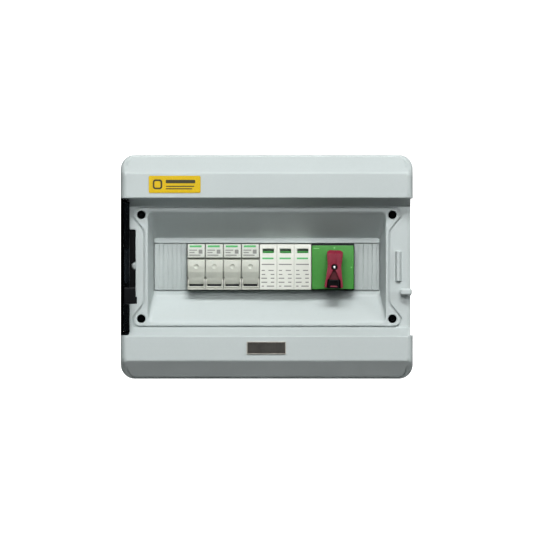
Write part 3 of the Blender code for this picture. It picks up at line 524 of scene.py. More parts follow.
def silhouette():
    """The cover's outline from the front, as (x, z) with the outward direction at each point."""
    steps = 14
    levels = (97, BAND_CREASE, 90, 80, BAND_INNER, 64, PANEL_HALF, 30)
    side_run = [*levels, 0, *[-level for level in reversed(levels)]]
    outline = []
    for cx, cz, start in ((1, 1, 0), (-1, 1, 90), (-1, -1, 180), (1, -1, 270)):
        for i in range(steps + 1):
            angle = math.radians(start + 90 * i / steps)
            x = cx * (HALF_X - CORNER_RADIUS) + CORNER_RADIUS * math.cos(angle)
            z = cz * (HALF_Z - CORNER_RADIUS) + CORNER_RADIUS * math.sin(angle)
            outline.append((x, z, math.cos(angle), math.sin(angle)))
        if start in (90, 270):
            side = -1 if start == 90 else 1
            outline += [(side * HALF_X, -side * z, side, 0) for z in side_run]
    return outline


def cover_limits():
    """The cover's silhouette with its front rim rounded, broadly at the sides and corners and tightly
    along top and bottom."""
    outline = silhouette()
    arcs, clearance, beyond = 6, 0.03, 125
    rings = [[place(x, REAR, z) for x, z, _, _ in outline]]
    for step in range(arcs + 1):
        turn = math.radians(90 * step / arcs)
        ring = []
        for x, z, nx, nz in outline:
            radius = RIM + RIM_GAIN * (1 - nz**4)
            inset = radius * (1 - math.cos(turn))
            level = front_depth(z) - radius * (1 - math.sin(turn)) + clearance
            ring.append(place(x - nx * inset, level, z - nz * inset))
        rings.append(ring)
    rings.append([Vector((p.x, -beyond * MM, p.z)) for p in rings[-1]])
    return skin_rings("limits", rings)


def funnel_cutter():
    """Funnel, flat strip and window in one, with a rounded lip and foot."""
    top_x, top_z, foot_x, foot_z = 119.0, 55.2, 113.3, 29.0
    window_x, window_z = 112.8, 23.5
    edge = (top_x + 1.1, top_z + 1.5, PANEL)
    rows = [(top_x + 1.5, top_z + 1.9, 5.0, PANEL + 3), (edge[0], edge[1], 5.0, PANEL)]

    def on_slope(depth):
        share = (depth - WINDOW) / (PANEL - WINDOW)
        return foot_x + share * (top_x - foot_x), foot_z + share * (top_z - foot_z)

    def curve(start, control, end, radii, count=5):
        for i in range(1, count + 1):
            t = i / count
            x, z, d = (
                (1 - t) ** 2 * a + 2 * t * (1 - t) * b + t * t * c for a, b, c in zip(start, control, end)
            )
            rows.append((x, z, radii[0] + (radii[1] - radii[0]) * t, d))

    lip = (*on_slope(PANEL - 1.3), PANEL - 1.3)
    curve(edge, (top_x, top_z, PANEL), lip, (5.0, 5.0))
    foot = (*on_slope(WINDOW + 1.6), WINDOW + 1.6)
    rows.append((foot[0], foot[1], 4.0, foot[2]))
    curve(foot, (foot_x, foot_z, WINDOW), (foot_x - 0.15, foot_z - 1.5, WINDOW), (4.0, 3.6))
    corner = (window_x, window_z, WINDOW)
    curve((112.95, 24.1, WINDOW), corner, (window_x, window_z, WINDOW - 0.7), (1.2, 1.0), 3)
    rows.append((window_x, window_z, 1.0, WINDOW - 12))
    return loft("funnel", [(-x, x, -z, z, r, d) for x, z, r, d in rows], 8)


def cover_openings():
    """The cutters for the hinge's notch, the right flank's step, the funnel with its window, and the
    pocket of the hinge's leaf."""
    off_slope = 0.06  # keeps the notch's face from lying in the recess's slope
    inset_half, beyond = 68.4, 120
    top, foot = recess_half(98) - off_slope, recess_half(88) - off_slope
    notch = [(98, top), (88, foot), (88, -foot), (98, -top)]
    rear = REAR - 2
    inset = [(rear, -inset_half), (beyond, -inset_half), (beyond, inset_half), (rear, inset_half)]
    return [
        side_prism("notch", notch, (-150, -137.5)),
        side_prism("inset", inset, (143.7, 150)),
        funnel_cutter(),
        bar("pocket", (-139, -131.3), (-36.8, 37.4), (86, 98), 0.8, 0.0),
    ]


def screw_wells():
    """The cutters for the screws' wells: a rounded mouth, the head's bore and the shank's."""
    profile = [
        (5.0, 97),
        (4.7, 95.01),
        (4.35, 94.75),
        (4.15, 94.3),
        (4.1, 93.7),
        (4.1, 66.0),
        (2.4, 65.9),
        (2.4, 56),
    ]
    return [spun("well", profile, (sx * SCREW_X, 0, sz * SCREW_Z)) for sx, sz in CORNERS]


def groove_line(offset):
    """The seal groove's middle line, which dips in between the screws, moved out by offset."""
    corners = [
        (126.5, 58.95, 0),
        (133.0, 58.95, 6.2),
        (134.4, 50.2, 1.6),
        (123.9, 37.4, 1.4),
        (122.6, 34.4, 3.0),
        (122.6, 20.0, 0),
    ]
    taller = 1.012  # the lower half's height over the upper one's
    right = corners + [(x, -z * taller, r) for x, z, r in reversed(corners)]
    left = [(-x, z, r) for x, z, r in reversed(right)]
    return offset_outline(fillet(right + left, 7), offset)


def seal_groove():
    """The groove's cutter: a closed ring of rectangular section along its line."""
    half_width, bottom, above = 0.8, 92.95, 97.0
    section = (
        (half_width, bottom),
        (half_width, above),
        (-half_width, above),
        (-half_width, bottom),
        (half_width, bottom),
    )
    rings = [[place(x, depth, z) for x, z in groove_line(offset)] for offset, depth in section]
    return weld(skin_rings("groove", rings, False))


def cover_details():
    """What is moulded on the cover: catch bar, catch peg, the window's sill and a dome beside the hinge."""
    catch_bar = [
        (128.2, 135.1, -15.5, 16.1, 1.2, PANEL - 0.5),
        (128.4, 134.9, -15.3, 15.9, 1.2, PANEL + 0.1),
        (130.0, 133.2, -14.6, 15.4, 1.0, 98.0),
        (130.4, 132.8, -14.2, 15.0, 0.9, 98.5),
        (131.0, 132.2, -13.6, 14.4, 0.5, 98.65),
    ]
    sill = [(68.0, 29.3), (69.03, 29.1), (70.9, 24.2), (70.5, 23.55), (68.0, 23.55)]
    dome = [(0.05, 94.2), (1.6, 94.1), (3.0, 93.7), (3.9, 92.9), (4.2, 92.0), (4.2, 85.5)]
    return [
        loft("catch_bar", catch_bar, 6),
        bar("catch_stem", (133.6, 139.2), (-27.5, -22.5), (PANEL - 0.5, 102.5), 1.2, 0.0),
        bar("catch_head", (133.2, 145.2), (-28.6, -21.4), (101.0, 104.8), 2.6, 2.2, 0.5),
        side_prism("sill", sill, (-112.6, 112.6)),
        spun("dome", dome, (-131.3, 0, 0.8)),
    ]


def cover_shell():
    """The cover. Its wells are cut after the other openings, and its fine groove after the bevel."""
    cover = side_prism("cover", front_outline(), (-HALF_X - 2, HALF_X + 2))
    carve(cover, [cover_limits()], "INTERSECT")
    carve(cover, cover_openings())
    carve(cover, screw_wells())
    carve(cover, [cover_space()])
    soft_edges(cover, 0.45, 2, 40)
    carve(cover, [seal_groove()])
    carve(cover, cover_details(), "UNION")
    finish_piece(cover, "cover_shell", SHELL, "enclosure", ["front_cover"])
    even_shading(cover)


def cover_space():
    """The hollow behind the cover, round the funnel, the hinge wall and the screw bosses."""
    space = bar("space", (-141, 141), (-107, 107), (REAR - 3, PANEL - 2.5), 9.0, 0.0)
    funnel_back = [
        (-117.2, 117.2, -32.4, 32.4, 5, WINDOW - 2.6),
        (-122.2, 122.2, -59.2, 59.2, 6, PANEL + 1),
    ]
    keepers = [
        loft("funnel_back", funnel_back),
        bar("hinge_wall", (-150, -128.8), (-63, 63), (83.5, PANEL + 1), 1.0, 0.0),
    ]
    for sx, sz in CORNERS:
        keepers.append(spun("boss", [(7.4, 56), (7.4, 97)], (sx * SCREW_X, 0, sz * SCREW_Z)))
    carve(space, keepers)
    return carve(space, [band_space(-1), band_space(1)], "UNION")


def band_space(side):
    """The hollow inside the upper (1) or lower (-1) sloping band."""
    rear, shoulder, front, flank, half_x, wall = 80, 95.6, 111.4, 109, 143.4, 2.7
    outline = [
        (rear, flank),
        (shoulder, flank),
        (front, 92.8),
        (front, recess_half(front) + wall),
        (rear, recess_half(rear) + wall),
    ]
    band = side_prism("band", [(d, side * z) for d, z in outline], (-half_x, half_x))
    ends = bar("band_ends", (-half_x, half_x), (-flank, flank), (70, 120), 11.5, 0.0, steps=10)
    return carve(band, [ends], "INTERSECT")


# ---------------------------------------------------------------- base

BASE_X, BASE_Z = 143.5, 110.5


def base_step():
    """The cutter for the shallow step that runs round the base near the cover."""
    depth, radius = 0.7, 12.0
    x, z = BASE_X - depth, BASE_Z - depth
    outer = bar("step_out", (-150, 150), (-116, 116), (54.5, 56.2), radius, 0.0)
    inner = bar("step_in", (-x, x), (-z, z), (50, 60), radius - depth, 0.0, steps=10)
    return carve(outer, [inner])


def knock_outs():
    """The cutters for the shallow rings in the top and the underside."""
    outer, inner, into, out = 11.9, 10.9, -1.3, 3.0
    rings = []
    for x in (-90, -30, 30, 90):
        for side in (-1, 1):
            z0 = side * BASE_Z
            section = ((outer, into), (outer, out), (inner, out), (inner, into))
            rings.append(ring_groove(x, 30.0, [(r, z0 + side * h) for r, h in section]))
    return rings


def base_shell():
    """The rear half: a rounded back edge, a shallow step under the cover, and posts and rests inside."""
    base = bar("base", (-BASE_X, BASE_X), (-BASE_Z, BASE_Z), (0, 58.5), 12.0, 0.0, 2.6, steps=10)
    space = bar("base_space", (-140.5, 140.5), (-107.5, 107.5), (3, 62), 9.0, 0.0, 2.0, steps=8)
    carve(base, [space, base_step(), *knock_outs()])

    wall_hole = [(5.2, 4.5), (2.75, 2.6), (2.75, -2)]
    carve(base, [spun("hole", wall_hole, (sx * 128, 0, sz * 92), steps=24) for sx, sz in CORNERS])

    at_screws = [(sx * SCREW_X, 0, sz * SCREW_Z) for sx, sz in CORNERS]
    posts = [spun("post", [(5.6, 58), (5.7, 2)], at, steps=24) for at in at_screws]
    for x in (-105, 105):
        posts.append(bar("rail_rest", (x - 8, x + 8), (-14, 14), (2, 15.2), 1.0, 0.5))
    for x in (68, 102):
        posts.append(bar("earth_rest", (x - 4, x + 4), (-91, -83), (2, 9.6), 0.8, 0.3))
    carve(base, posts, "UNION")
    carve(base, [spun("pilot", [(2.3, 62), (2.3, 30)], at, steps=20) for at in at_screws])
    finish_piece(base, "base_shell", BASE_SHELL, "enclosure", ["rear_base"])
    even_shading(base)


def ring_groove(x, depth, profile):
    """A (radius, z) profile turned about a vertical axis at (x, depth), closed into a ring."""
    steps = 36
    shape = bmesh.new()
    rows = []
    for i in range(steps):
        angle = 2 * math.pi * i / steps
        around = [place(x + r * math.cos(angle), depth + r * math.sin(angle), z) for r, z in profile]
        rows.append([shape.verts.new(point) for point in around])
    for i in range(steps):
        a, b = rows[i], rows[(i + 1) % steps]
        for k in range(len(profile)):
            j = (k + 1) % len(profile)
            shape.faces.new((a[k], a[j], b[j], b[k]))
    return loose("ring", shape)


# ---------------------------------------------------------------- fuse holders

FUSE_PITCH, FUSE_LEFT, FUSE_WIDTH = 18.08, -79.7, 17.5
PIVOT_D, PIVOT_Z = 77.0, -15.5
FUSE_LABEL, FUSE_AXIS = 83.2, 62.0


def ink(x, z, depth, thick=0.06):
    """A thin bar lying on a surface at the given depth, for print, and behind each surge cartridge's flag
    for a layer of painted shade.
    """
    return bar("ink", x, z, (depth - 0.02, depth + thick), min(0.3, (z[1] - z[0]) / 2.2), 0.0, steps=3)


def fuse_lever(x):
    """The carrier's bulged grip, with a round dish for a fingertip."""
    half = FUSE_WIDTH / 2
    outline = [
        (79.6, 7.4, 0),
        (82.6, 7.3, 0.2),
        (84.2, 6.6, 0.8),
        (84.75, 0.4, 5.0),
        (84.2, -5.2, 5.0),
        (82.1, -10.7, 0.3),
        (79.6, -10.7, 0),
    ]
    lever = side_prism("lever", fillet(outline, 5), (x - half, x + half))
    soft_edges(lever, 0.28, 2, 50)
    dish = [(3.3, 88), (3.15, 86.0), (2.7, 84.8), (2.1, 84.2), (1.2, 83.85), (0.05, 83.75)]
    return carve(lever, [spun("dish", dish, (x, 0, 0.3), steps=28)])


def fuse_lever_foot(x):
    """The grip's lower end, undercut above its lip."""
    outline = [
        (79, -9.0, 0),
        (82.3, -10.0, 0.5),
        (81.2, -13.2, 4.0),
        (79.6, -17.2, 0.2),
        (77.6, -17.4, 0.2),
        (77.6, -19.3, 0.2),
        (80.9, -19.5, 0.4),
        (80.9, -21.0, 0.7),
        (78.6, -21.4, 0),
        (76.0, -18.4, 0),
        (72, -12, 0),
    ]
    foot = side_prism("lever_foot", fillet(outline, 3), (x - 7.7, x + 7.7))
    return soft_edges(foot, 0.2, 2, 50)


def fuse_print(x):
    """Plain bars on the carrier's label."""
    bars = [(ink((x - 6.6, x + 5.4), (19.6, 21.5), FUSE_LABEL), INK_GREEN)]
    for z, left, right in ((16.7, -7.0, 1.0), (14.3, -7.0, -1.6), (11.7, -7.0, 4.2)):
        bars.append((ink((x + left, x + right), (z - 0.55, z + 0.55), FUSE_LABEL), INK_GREY))
    bars.append((ink((x + 2.4, x + 6.2), (13.2, 17.3), FUSE_LABEL), INK_GREY))
    return bars


def fuse_carrier(index, x):
    half = FUSE_WIDTH / 2
    spine = [(72, 21.4), (79.4, 22.0), (79.4, -10.4), (78.6, -12), (72, -12)]
    cheek = fillet([(58, -9, 3), (74, -9, 0), (74, 9, 0), (58, 9, 3)], 5)
    pieces = [
        (fuse_lever(x), OFF_WHITE),
        (fuse_lever_foot(x), OFF_WHITE),
        (side_prism("spine", spine, (x - 7.2, x + 7.2)), BODY_WHITE),
        (bar("plate", (x - half, x + half), (9.1, 22.8), (79.2, FUSE_LABEL), 0.5, 0.35), LABEL_WHITE),
        # Painted shade: a dark bar set in the grip's finger slot, for the shade inside it.
        (bar("slot", (x - 6.7, x + 6.7), (-19.4, -17.3), (77.0, 78.0), 0.3, 0.1), DARK_PLASTIC_AND_SHADE),
        (side_prism("cheek", cheek, (x - 7.1, x - 6.35)), BODY_WHITE),
        (side_prism("cheek", cheek, (x + 6.35, x + 7.1)), BODY_WHITE),
        (bar("saddle", (x - 6.7, x + 6.7), (-6, 6), (67.5, 74), 0.5, 0.0), BODY_WHITE),
        (spun("trunnion", [(1.6, -8.4), (1.6, 8.4)], (x, PIVOT_D, PIVOT_Z), "x", 20), BODY_WHITE),
        *fuse_print(x),
    ]
    body = f"fuse_drawer_{index}"
    finish_joined(pieces, f"fuse_lever_{index}", body, [f"fuse_carrier_{index}"])


def fuse_link(index, x):
    """The fuse itself: a ceramic barrel between two end caps."""
    centre = (x, FUSE_AXIS, 0)
    pieces = [(spun("barrel", [(4.85, 8.0), (4.85, -11.0)], centre, "z", 28), CERAMIC)]
    rounding = ((0.05, 0.0), (4.6, 0.0), (5.0, 0.15), (5.15, 0.6))
    for low, high in ((-20.5, -10.5), (7.5, 17.5)):
        upper = [(radius, high - drop) for radius, drop in rounding]
        lower = [(radius, low + rise) for radius, rise in reversed(rounding)]
        pieces.append((spun("cap", upper + lower, centre, "z", 28), STEEL))
    body = f"fuse_drawer_{index}"
    finish_joined(pieces, f"fuse_{index}", body, [f"fuse_link_{index}"])


def fuse_holders():
    for i in range(4):
        x = FUSE_LEFT + FUSE_PITCH * (i + 0.5)
        fuse_carrier(i + 1, x)
        fuse_link(i + 1, x)
        keep(f"fuse_body_{i + 1}", BODY_WHITE, 0.25, 2)
        keep(f"fuse_clip_top_{i + 1}", COPPER, 0.1, 1)
        keep(f"fuse_clip_bottom_{i + 1}", COPPER, 0.1, 1)


# ---------------------------------------------------------------- surge protector

SPD_PITCH, SPD_LEFT, SPD_FRONT = 17.27, -7.2, 83.5
FLAG_Z = (13.95, 17.75)


def surge_head(x):
    """The cartridge's visible block, with the window over its status flag."""
    half = SPD_PITCH / 2 - 0.08
    head = bar("head", (x - half, x + half), (-22.9, 22.6), (64.4, SPD_FRONT), 0.5, 0.3, 0.3)
    window = [
        (x - 5.5, x + 5.5, 13.9, 17.8, 0.3, 81.6),
        (x - 5.75, x + 5.75, 13.55, 18.3, 0.4, SPD_FRONT - 0.05),
        (x - 6.1, x + 6.1, 13.2, 18.6, 0.6, SPD_FRONT + 0.6),
    ]
    return carve(head, [loft("window", window, 4)])


def surge_print(x):
    """Plain bars on the cartridge's front: two wide ones, then short ones in two columns."""
    rows = (
        (-3.6, (-6.6, -3.4), (0.2, 5.4)),
        (-7.6, (-6.6, -3.0), (2.4, 6.2)),
        (-11.4, (-6.9, -1.2), (2.4, 6.2)),
        (-15.4, (-6.9, -1.0), (2.6, 6.0)),
        (-19.3, (-6.6, -4.2), (-1.4, 6.0)),
    )
    bars = [
        (ink((x - 5.9, x + 5.3), (7.7, 9.3), SPD_FRONT), INK_GREEN),
        (ink((x - 6.6, x + 6.2), (1.9, 3.0), SPD_FRONT), INK_GREY),
    ]
    for z, *spans in rows:
        for left, right in spans:
            bars.append((ink((x + left, x + right), (z - 0.5, z + 0.5), SPD_FRONT), INK_GREY))
    return bars


def surge_cartridge(index, x):
    body = f"surge_cartridge_{index}"
    pieces = [
        (surge_head(x), CARTRIDGE),
        (bar("stem", (x - 7.0, x + 7.0), (-22.6, 22.6), (49.9, 64.6), 0.8, 0.0, 0.5), CARTRIDGE),
        # Painted shade: a dark green layer at the back of the flag's window.
        (ink((x - 5.4, x + 5.4), FLAG_Z, 81.65), FLAG_PAINTED_SHADE),
    ]
    for blade_z in ((-16.0, -12.0), (12.0, 16.0)):
        pieces.append((bar("blade", (x - 3, x + 3), blade_z, (44, 50.4), 0.4, 0.0, 0.4), COPPER))
    pieces += surge_print(x)
    finish_joined(pieces, f"cartridge_{index}", body, [f"spd_module_{index}"])
    # The flag's upper part is painted shade; only its lower, raised strip has the flag's own green.
    flag = [
        (bar("flag", (x - 5.4, x + 5.4), FLAG_Z, (81.75, 82.1), 0.2, 0.05), FLAG_PAINTED_SHADE),
        (bar("flag_low", (x - 5.3, x + 5.3), (14.0, 15.7), (82.1, 82.9), 0.3, 0.2), FLAG_LIGHT),
    ]
    finish_joined(flag, f"status_flag_{index}", body, [f"spd_flag_{index}"])


# ---------------------------------------------------------------- isolator

HANDLE_X, HANDLE_Z = 67.7, -0.4
HANDLE_TURN = 2.2


def turned_a_little(made):
    """The handle sits a few degrees off upright on its shaft."""
    centre = Matrix.Translation(place(HANDLE_X, 0, HANDLE_Z))
    turn = Matrix.Rotation(math.radians(HANDLE_TURN), 4, "Y")
    made.data.transform(centre @ turn @ centre.inverted())


def isolator_plate():
    front = 82.6
    plate = bar("plate", (45.0, 87.2), (-22.4, 21.4), (80.1, front), 1.0, 0.5, 0.2)
    carve(plate, [spun("hole", [(5.6, 90), (5.6, 70)], (HANDLE_X, 0, HANDLE_Z))])
    marks = (
        ((66.9, 68.5), (18.2, 19.8)),
        ((84.0, 85.4), (-1.2, 0.3)),
        ((46.6, 52.6), (18.0, 18.9)),
    )
    pieces = [(plate, GREEN), *[(ink(x, z, front), MARK_GREEN) for x, z in marks]]
    finish_joined(pieces, "isolator_plate", "enclosure", ["switch_face"])


def grip_outline():
    """The handle from the front: waisted, and broader at its lower end."""
    stations = (
        (17.0, 5.4, 1.6),
        (15.4, 7.9, 1.8),
        (11.0, 7.9, 6),
        (1.5, 6.75, 14),
        (-9.0, 7.9, 12),
        (-20.6, 9.5, 1.4),
    )
    right = [(HANDLE_X + half, HANDLE_Z + z, r) for z, half, r in stations]
    left = [(HANDLE_X - half, HANDLE_Z + z, r) for z, half, r in reversed(stations)]
    return fillet(right + left, 4)


def tapered(upper, lower):
    """A four-cornered outline about the handle's middle, from two (half width, z, corner radius) ends."""
    (top, top_z, top_radius), (foot, foot_z, foot_radius) = upper, lower
    return [
        (HANDLE_X - top, top_z, top_radius),
        (HANDLE_X + top, top_z, top_radius),
        (HANDLE_X + foot, foot_z, foot_radius),
        (HANDLE_X - foot, foot_z, foot_radius),
    ]


def isolator_grip():
    grip = front_prism("grip", grip_outline(), (84.0, 101.0))
    slope = [(97.0, 20), (97.0, 17.0), (99.8, 14.2), (101.2, 13.0), (104, 12.4), (104, 20)]
    vee = fillet(tapered((1.3, -3.6, 0.4), (5.9, -13.4, 0)), 3)
    lock_way = fillet(tapered((6.4, -12.4, 1.2), (7.9, -30, 0)), 4)
    seat = [(3.6, 103), (3.3, 101), (3.1, 100.5), (3.1, 96)]
    tick = [(HANDLE_X + 0.1, 17.2), (HANDLE_X + 0.9, 17.2), (HANDLE_X + 0.5, 12.0)]
    cuts = [
        side_prism("slope", slope, (50, 86)),
        front_prism("vee", vee, (97.8, 103)),
        front_prism("lock_way", lock_way, (86.4, 104)),
        spun("seat", seat, (HANDLE_X, 0, HANDLE_Z), steps=28),
        front_prism("tick", tick, (95.0, 104)),
    ]
    carve(grip, cuts)
    soft_edges(grip, 0.5, 3, 40)
    # Painted shade: the vee's floor carries a darker copy of the handle's red.
    vee_floor = fillet(tapered((1.2, -3.8, 0), (5.6, -12.9, 0)))
    pieces = [(grip, RED), (front_prism("vee_floor", vee_floor, (97.6, 97.95)), RED_PAINTED_SHADE)]
    made = finish_joined(pieces, "isolator_grip", "isolator_handle", ["switch_handle"])
    turned_a_little(made)


def padlock_tab():
    tab = bar("tab", (HANDLE_X - 6.1, HANDLE_X + 6.1), (-21.6, -12.9), (86.8, 98.6), 1.0, 0.8, 0.2)
    eye = spun("eye", [(2.6, -10), (2.6, 10)], (HANDLE_X, 92.5, -18.2), "x", 20)
    scoop = bar("scoop", (HANDLE_X - 4.4, HANDLE_X + 4.4), (-20.4, -14.4), (95.2, 100), 1.2, 0.0)
    carve(tab, [eye, scoop])
    lip = bar("lip", (HANDLE_X - 3.6, HANDLE_X + 3.6), (-20.9, -18.9), (95.0, 98.4), 0.8, 0.6)
    pieces = [(tab, BLACK), (lip, RED)]
    turned_a_little(finish_joined(pieces, "padlock_tab", "padlock_tab", ["handle_lock"]))


def grip_screw():
    """A dark domed head with a bright crown."""
    centre = (HANDLE_X, 0, HANDLE_Z)
    dome = [
        (0.05, 98.9),
        (1.7, 98.85),
        (2.3, 98.6),
        (2.6, 98.1),
        (2.7, 97.5),
        (2.7, 96.35),
        (0.05, 96.3),
    ]
    crown = [(0.05, 99.0), (1.0, 98.97), (1.25, 98.85), (1.3, 98.2), (0.05, 98.15)]
    pieces = [(spun("head", dome, centre, steps=28), BOLT), (spun("crown", crown, centre), STEEL)]
    turned_a_little(finish_joined(pieces, "grip_screw", "isolator_handle", ["handle_screw"]))


def isolator():
    keep("switch_body", DARK_PLASTIC_AND_SHADE, 0.3, 2)
    isolator_plate()
    keep("switch_shaft", DARK_PLASTIC_AND_SHADE, 0.3, 2)
    isolator_grip()
    padlock_tab()
    grip_screw()


# ---------------------------------------------------------------- small parts


def blank_plate(name, node, x0, x1):
    """A plate snapped from a longer strip, so it is scored across its width, deeper at every second line."""
    pitch, above = 4.5, 70.6
    plate = bar("blank", (x0, x1), (-23.2, 23.2), (67.0, 70.4), 0.6, 0.35)
    scores = []
    for i in range(1, int((x1 - x0) / pitch) + 1):
        x = x0 + i * pitch
        wide, bottom = (0.35, 69.95) if i % 2 == 0 else (0.2, 70.15)
        mouth, foot = wide + 0.6, wide * 0.4
        outline = [(x - mouth, above), (x - foot, bottom), (x + foot, bottom), (x + mouth, above)]
        scores.append(skin_rings("score", [[place(px, pd, z) for px, pd in outline] for z in (-25, 25)]))
    carve(plate, scores)
    finish_piece(plate, name, RIBBED, "enclosure", [node])


def labels():
    keep("caution_label", YELLOW, 0.1, 1)
    low, high = 114.68, 114.76
    pieces = [
        (bar("mark", (-114.0, -104.6), (77.6, 87.4), (low, high), 2.6, 0.0), INK_DARK),
        (bar("mark_in", (-112.4, -106.2), (79.2, 85.8), (114.74, 114.79), 1.4, 0.0), YELLOW),
        (bar("line", (-101.0, -71.6), (83.6, 87.0), (low, high), 0.8, 0.0), INK_DARK),
        (bar("line", (-101.0, -72.6), (80.0, 81.0), (low, high), 0.4, 0.0), INK_DARK),
        (bar("line", (-101.0, -74.6), (77.6, 78.6), (low, high), 0.4, 0.0), INK_DARK),
    ]
    finish_joined(pieces, "caution_marks", "enclosure", ())
    keep("name_plate", PLATE_EDGE, 0.15, 1)
    field = bar("field", (-19.4, 18.4), (-86.6, -75.5), (115.06, 115.14), 0.4, 0.0)
    finish_piece(field, "name_plate_field", PLATE, "enclosure", ())


def cover_bolt(index, x, z):
    """A cover screw with a rounded head and a cross slot."""
    profile = [
        (0.05, 70.3),
        (2.4, 70.3),
        (3.0, 70.1),
        (3.5, 69.6),
        (3.6, 69.0),
        (3.6, 66.4),
        (2.0, 66.3),
        (2.0, 38.0),
        (0.05, 36.5),
    ]
    bolt = spun("screw", profile, (x, 0, z), steps=28)
    slots = []
    for half_x, half_z in ((2.2, 0.45), (0.45, 2.2)):
        slots.append(bar("slot", (x - half_x, x + half_x), (z - half_z, z + half_z), (69.0, 73), 0.05, 0.0))
    carve(bolt, slots)
    finish_piece(bolt, f"cover_bolt_{index}", BOLT, "enclosure", [f"cover_screw_{index}"])


def screws():
    for i, (sx, sz) in enumerate(CORNERS, start=1):
        cover_bolt(i, sx * SCREW_X, sz * SCREW_Z)
    keep("rail_screw_left", STEEL)
    keep("rail_screw_right", STEEL)


def hinge_and_door():
    """The clear door casts no shadow, because it would be as dark as a solid door's."""
    keep("hinge_base", BLACK, 0.35, 2)
    keep("hinge_pin", STEEL)
    keep("door_knuckle", BARREL, 0.35, 2)
    keep("door_latch", BLACK, 0.3, 2)
    keep("door_panel", CLEAR, 0.5, 3).visible_shadow = False


def inside():
    keep("base_gasket", GASKET, 0.15, 1)
    keep("din_rail", RAIL, 0.25, 2)
    keep("spd_base", BODY_WHITE, 0.3, 2)
    keep("busbar_positive", COPPER, 0.15, 1)
    keep("busbar_negative", COPPER, 0.15, 1)
    keep("earth_bar", BRASS, 0.2, 1)
    for sign, look in (("positive", WIRE_RED), ("negative", WIRE_BLACK)):
        keep(f"wire_{sign}", look)
        keep(f"wire_spd_{sign}", look)
    keep("wire_earth", WIRE_EARTH)


# ---------------------------------------------------------------- studio


def camera():
    """Straight at the front from far away, so that hardly any perspective is left."""
    data = bpy.data.cameras.new("camera")
    made = bpy.data.objects.new("camera", data)
    scene.collection.objects.link(made)
    distance, view_width, sensor = 24.0, 0.533, 36.0
    aim_x, aim_z = -0.0003, 0.00035
    data.sensor_width = sensor
    data.lens = sensor * distance / view_width
    data.clip_start, data.clip_end = 1.0, 60.0
    made.location = (aim_x, -distance - FRONT * MM, aim_z)
    made.rotation_euler = (math.radians(90), 0, 0)
    scene.camera = made


# name, azimuth from the front (+ is right), elevation, distance, width, height, watts
LIGHTS = (
    ("low", 0, 15, 3.4, 2.4, 0.3, 26.0),
    ("key_low", 0, 25, 3.4, 2.4, 0.4, 24.0),
    ("key_high", 0, 48, 3.4, 2.4, 0.9, 72.0),
    ("left", -65, 20, 3.4, 1.4, 0.8, 8.0),
    ("right", 65, 20, 3.4, 1.4, 0.8, 26.0),
    ("under", 180, -84.5, 3.4, 2.4, 0.9, 19.0),
    ("behind", 180, 45, 3.4, 2.0, 1.4, 25.0),
    ("back", 165, 8, 3.4, 2.0, 1.4, 16.0),
)
LIT_POINT = (0, -0.09, 0)


def area(name, azimuth, elevation, distance, width, height, watts):
    """An area light that faces the object and doesn't show through the clear door."""
    data = bpy.data.lights.new(name, "AREA")
    data.shape = "RECTANGLE"
    data.size, data.size_y = width, height
    data.energy = watts
    made = bpy.data.objects.new(name, data)
    scene.collection.objects.link(made)
    turn, lift = math.radians(azimuth), math.radians(elevation)
    away = Vector((math.sin(turn) * math.cos(lift), -math.cos(turn) * math.cos(lift), math.sin(lift)))
    made.location = Vector(LIT_POINT) + away * distance
    made.rotation_euler = away.to_track_quat("Z", "Y").to_euler()
    made.visible_transmission = False


def calculated(tree, operation, *values):
    """A Math node's result on numbers or other nodes' outputs."""
    node = tree.nodes.new("ShaderNodeMath")
    node.operation = operation
    for socket, value in zip(node.inputs, values):
        if isinstance(value, bpy.types.NodeSocket):
            tree.links.new(value, socket)
        else:
            socket.default_value = value
    return node.outputs[0]


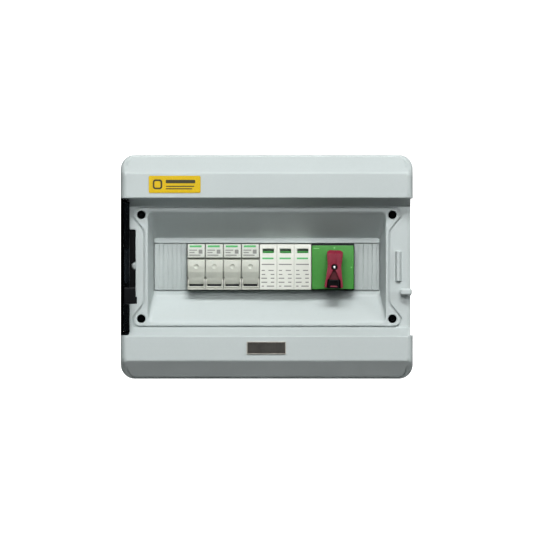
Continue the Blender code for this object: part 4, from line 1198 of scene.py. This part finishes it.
def surroundings():
    """White behind the object, where it is seen directly or level through the door, and faint light
    from all round otherwise."""
    nearly_level, straight_through, ambient = 0.3, 2.5, 0.02
    scene.world = bpy.data.worlds.new("studio")
    scene.world.use_nodes = True
    tree = scene.world.node_tree
    tree.nodes.clear()
    path = tree.nodes.new("ShaderNodeLightPath").outputs
    heading = tree.nodes.new("ShaderNodeTexCoord")
    parts = tree.nodes.new("ShaderNodeSeparateXYZ")
    tree.links.new(heading.outputs["Generated"], parts.inputs[0])
    level = calculated(tree, "COMPARE", parts.outputs["Z"], 0.0, nearly_level)
    through = calculated(tree, "MULTIPLY", level, path["Is Transmission Ray"])
    shallow = calculated(tree, "LESS_THAN", path["Ray Depth"], straight_through)
    direct = calculated(tree, "MULTIPLY", through, shallow)
    seen = calculated(tree, "MAXIMUM", path["Is Camera Ray"], direct)
    mix = tree.nodes.new("ShaderNodeMixShader")
    tree.links.new(seen, mix.inputs["Fac"])
    for socket, colour, strength in ((1, (0.95, 0.98, 1.0, 1), ambient), (2, (1, 1, 1, 1), 1.0)):
        light = tree.nodes.new("ShaderNodeBackground")
        light.inputs["Color"].default_value = colour
        light.inputs["Strength"].default_value = strength
        tree.links.new(light.outputs[0], mix.inputs[socket])
    out = tree.nodes.new("ShaderNodeOutputWorld")
    tree.links.new(mix.outputs[0], out.inputs["Surface"])


def floor():
    """A pale floor well below the object, which neither shades nor tints it."""
    height, half_size = -0.32, 4.0
    shape = bmesh.new()
    bmesh.ops.create_grid(shape, x_segments=1, y_segments=1, size=half_size)
    made = loose("floor", shape)
    made.location.z = height
    g = Graph("floor")
    patches = g.spread(g.noise(2.0), 0, 1)
    g.set(Base_Color=g.blend(patches, (0.8, 0.8, 0.8), (0.83, 0.83, 0.83)), Roughness=0.8)
    made.data.materials.append(g.material)
    made.visible_diffuse = False
    made.visible_shadow = False


def studio():
    surroundings()
    for light in LIGHTS:
        area(*light)
    floor()
    scene.view_settings.view_transform = "Standard"
    scene.view_settings.look = "High Contrast"


camera()
studio()
cover_shell()
base_shell()
fuse_holders()
for number in range(3):
    surge_cartridge(number + 1, SPD_LEFT + SPD_PITCH * (number + 0.5))
isolator()
blank_plate("blank_left", "blank_plate_left", -112.5, -80.1)
blank_plate("blank_right", "blank_plate_right", 87.6, 112.5)
labels()
screws()
hinge_and_door()
inside()
